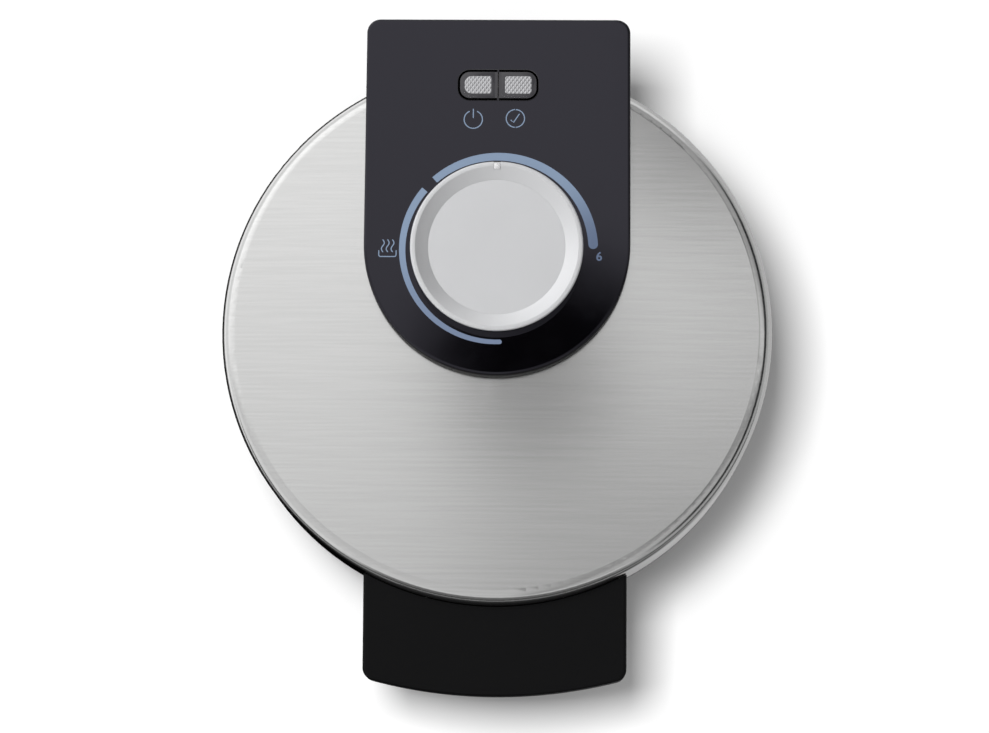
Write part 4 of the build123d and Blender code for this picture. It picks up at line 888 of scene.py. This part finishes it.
def makeStatusSigns():
    shape = statusSigns
    x, y = shape["powerAt"][0], shape["powerAt"][1] + bodyY
    ends = (90 + shape["ringGap"], 450 - shape["ringGap"])
    ring = arcPoints((x, y), shape["ring"], *ends, shape["ringSteps"])
    bar = [(x, y + rise) for rise in shape["bar"]]
    flatSign("powerSign", [strokeOutline(points) for points in (ring, bar)])
    x, y = shape["readyAt"][0], shape["readyAt"][1] + bodyY
    halves = [
        arcPoints((x, y), shape["ring"], start, start + 180, shape["halfSteps"])
        for start in (-90, 90)
    ]
    tick = [(x + aside, y + rise) for aside, rise in shape["tick"]]
    flatSign("readySign", [strokeOutline(points) for points in (*halves, tick)])


# sign for heat, left of the dial: a tray with three waves over it
heatSign = {
    "tray": (-51.2 * mm, -43.7 * mm, 29.3 * mm, 31.9 * mm),
    "corner": 0.8 * mm,
    "cornerSteps": 5,
    "waves": (-49.5 * mm, -47.4 * mm, -45.3 * mm),
    "waveFrom": 31.4 * mm,
    "waveTo": 36.7 * mm,
    "waveSteps": 16,
    "swing": 0.62 * mm,
}


def makeHeatSign():
    shape = heatSign
    left, right, low, high = shape["tray"]
    corner, steps = shape["corner"], shape["cornerSteps"]
    level = low + corner + bodyY
    tray = [(left, high + bodyY), (left, level)]
    tray += arcPoints((left + corner, level), corner, 180, 270, steps)[1:]
    tray += [(right - corner, low + bodyY)]
    tray += arcPoints((right - corner, level), corner, 270, 360, steps)[1:]
    tray += [(right, high + bodyY)]
    outlines = [strokeOutline(tray)]
    for x in shape["waves"]:
        wave = []
        for step in range(shape["waveSteps"] + 1):
            share = step / shape["waveSteps"]
            y = shape["waveFrom"] + (shape["waveTo"] - shape["waveFrom"]) * share + bodyY
            wave.append((x - shape["swing"] * math.sin(2 * math.pi * share), y))
        outlines.append(strokeOutline(wave))
    flatSign("heatSign", outlines)


# plain number at the wide end of the scale
topNumber = {
    "text": "6",
    "size": 5.4 * mm,
    "spot": (44.3 * mm, 29.6 * mm),
    "fatten": 0.02,
    "curveSteps": 6,
}


def makeTopNumber():
    shape = topNumber
    x, y = shape["spot"]
    bpy.ops.object.text_add(location=(x, y + bodyY, panelTop))
    words = bpy.context.active_object
    words.data.body = shape["text"]
    words.data.size = shape["size"]
    words.data.align_x = "CENTER"
    words.data.align_y = "CENTER"
    words.data.extrude = signs["thick"]
    words.data.offset = shape["fatten"] * shape["size"]
    words.data.resolution_u = shape["curveSteps"]
    pick(words)
    bpy.ops.object.convert(target="MESH")
    settle(bpy.context.active_object, "topNumber", "lid", inkWithPaintedLightFinish)


makeScale()
makeStatusSigns()
makeHeatSign()
makeTopNumber()
print("signs made")


# floor: white with the object's own soft shadow. For mirror rays alone it glows with a painted
# reflection instead: painted shade close in, white further out, painted grey shade to the right,
# and in front a grey stripe with dark on both sides.
# Here and in the studio a row of numbers is a soft ramp: from, to, and its values there,
# which are 0 and 1 where they aren't given
floorLook = {
    "size": 6.0,
    "color": 0.90,
    "near": (0.27, 0.40),  # by the distance from the round body's middle
    "aside": (-0.05, 0.12),  # by x
    # painted grey shade to the right, in the mirrored floor
    "asideTone": 0.5,
    "front": (-0.20, -0.12, 1.0, 0.0),  # by y
    "frontNear": (0.28, 0.34, 0.03, 0.28),
    "frontFar": (0.45, 0.56, 1.0, 0.06),
    "plain": (0.40, 1.00),  # where the camera sees plain white instead of the lit floor
}


def layFloor():
    look = floorLook
    bpy.ops.mesh.primitive_plane_add(size=look["size"], location=(0, 0, 0))
    floor = bpy.context.active_object
    floor.name = "floor"
    finish = Finish("floorWhite")
    seen = finish.node("ShaderNodeLightPath", output="Is Camera Ray")
    mirrored = seen.beside("Is Glossy Ray")
    x, y = finish.place().axes()[:2]
    # painted reflection of the floor for mirror rays: painted shade close in, painted grey shade to
    # the right, a grey stripe in front
    away = x.reach(y - bodyY)
    right = x.between(*look["aside"])
    paintedMirror = away.between(*look["near"]) * (1 - right) + right * look["asideTone"]
    front = y.between(*look["front"])
    stripe = away.between(*look["frontNear"]) * away.between(*look["frontFar"])
    paintedMirror = paintedMirror * (1 - front) + front * stripe
    tone = (look["color"],) * 3 + (1,)
    matt = finish.node("ShaderNodeBsdfDiffuse", None, {"Color": tone})
    # the floor glows with this painted reflection, though it is no lamp
    glow = finish.node("ShaderNodeEmission", None, {"Strength": paintedMirror})
    both = finish.over(mirrored, matt, glow)
    plain = finish.node("ShaderNodeEmission")
    both = finish.over(seen * away.between(*look["plain"]), both, plain)
    floor.data.materials.append(finish.done(both))


# key light: soft, high up and to the left, not mirrored itself
keyLook = {
    "spot": (-0.235, 0.0, 1.5),
    "target": (0, 0, 0.05),
    "size": 0.42,
    "watts": 20.3,
}


def hangKey():
    look = keyLook
    data = bpy.data.lights.new("keyLight", "AREA")
    data.shape = "SQUARE"
    data.size = look["size"]
    data.energy = look["watts"]
    lamp = bpy.data.objects.new("keyLight", data)
    bpy.context.scene.collection.objects.link(lamp)
    lamp.location = look["spot"]
    lamp.rotation_mode = "QUATERNION"
    heading = Vector(look["target"]) - Vector(look["spot"])
    lamp.rotation_quaternion = heading.to_track_quat("-Z", "Y")
    lamp.visible_glossy = False


# studio that metal mirrors, by how far a direction leans aside (x / z) and back (y / z),
# and lower down by the direction's own x, y and z
studioLook = {
    "level": 0.8,
    "fill": 0.408,  # plain light on all that doesn't mirror
    "fillLean": 0.52,  # more of it from the front
    "lowest": 0.02,  # least z that the leans are taken with
    # overhead: bright on the left, greyer on the right, darker to the front
    "side": (0.02, 0.30, 1.05, 0.48),
    "farLeft": (-0.6, -0.2, 0.13, 0.0),
    "farRight": (0.27, 0.45, 0.0, 0.36),
    "farRightBack": (0.20, 0.55, 1.0, 0.0),
    "depth": (-0.10, 0.35, 0.66, 1.12),
    # a dimmer strip across the right half, by the middle
    "rightHalf": (-0.09, 0.03),
    "frontRight": (0.03, 0.19, 0.40, 0.0),
    "frontEdge": (-0.25, -0.08),
    # dark to the right behind the middle, open again further back and aside
    "rearRight": (0.23, 0.34, 0.0, 0.97),
    "rearOpen": (0.40, 0.80, 1.0, 0.15),
    "rearSide": (0.25, 0.45, 1.0, 0.35),
    "behindPanel": (0.03, 0.065),
    # brighter to the rear left, and all of it dimmer far back
    "rearLeft": (0.4, 1.0, 0.0, 0.52),
    "rearLeftSide": (-0.5, 0.1, 1.0, 0.0),
    "rear": (0.5, 1.1, 1.0, 0.80),
    # dark round spot overhead, as of the camera
    "spot": (0.003, 0.168),
    "spotEdge": (0.032, 0.067),
    # low down: bright, dark in front, and to the right a dark band over grey
    "low": (0.34, 0.52, 1.0, 0.0),
    "lowTone": 0.95,
    "lowFront": (0.70, 0.90),
    "lowFrontRise": (0.24, 0.40, 0.85, 0.0),
    "lowRight": (0.48, 0.70),
    "bandFoot": (0.27, 0.32),
    "bandTop": (0.59, 0.65, 1.0, 0.0),
    "underBand": (0.27, 0.32, 0.5, 0.0),
}


def overheadStudio(aside, back):
    look = studioLook
    sky = aside.between(*look["side"]) + aside.between(*look["farLeft"])
    far = aside.between(*look["farRight"]) * back.between(*look["farRightBack"])
    sky = (sky + far) * back.between(*look["depth"])
    dim = back.between(*look["frontRight"]) * back.between(*look["frontEdge"])
    sky = sky * (1 - aside.between(*look["rightHalf"]) * dim)
    dark = back.between(*look["rearRight"]) * back.between(*look["rearOpen"])
    dark = dark * aside.between(*look["rearSide"])
    sky = sky * (1 - dark * aside.between(*look["behindPanel"]))
    sky = sky + back.between(*look["rearLeft"]) * aside.between(*look["rearLeftSide"])
    sky = sky * back.between(*look["rear"])
    spotX, spotY = look["spot"]
    return sky * (aside - spotX).reach(back - spotY).between(*look["spotEdge"])


def lightStudio():
    look = studioLook
    world = bpy.data.worlds.new("studio")
    bpy.context.scene.world = world
    world.use_nodes = True
    tree = world.node_tree
    tree.nodes.clear()
    seen = makeNode(tree, "ShaderNodeLightPath", output="Is Camera Ray")
    mirrored = seen.beside("Is Glossy Ray").largest(seen.beside("Is Transmission Ray"))
    x, y, z = makeNode(tree, "ShaderNodeTexCoord", output="Generated").axes()
    up = z.largest(look["lowest"])
    studio = overheadStudio(x / up, y / up)
    lift = z.between(*look["low"])
    studio = studio * (1 - lift) + lift * look["lowTone"]
    front = (0 - y).between(*look["lowFront"])
    studio = studio * (1 - front * z.between(*look["lowFrontRise"]))
    right = x.between(*look["lowRight"])
    studio = studio * (1 - right * z.between(*look["bandFoot"]) * z.between(*look["bandTop"]))
    studio = studio * (1 - right * z.between(*look["underBand"]))
    fill = (1 - y * look["fillLean"]) * look["fill"]
    # the camera sees plain white, metal the studio, and all else the fill
    strength = seen.largest(mirrored * studio * look["level"])
    strength = strength.largest((1 - seen) * (1 - mirrored) * fill)
    values = {"Color": (1, 1, 1, 1), "Strength": strength}
    glow = makeNode(tree, "ShaderNodeBackground", None, values)
    makeNode(tree, "ShaderNodeOutputWorld", None, {"Surface": glow})


layFloor()
hangKey()
lightStudio()
placeCamera()
bpy.context.scene.view_settings.view_transform = "Standard"
print("studio lit")
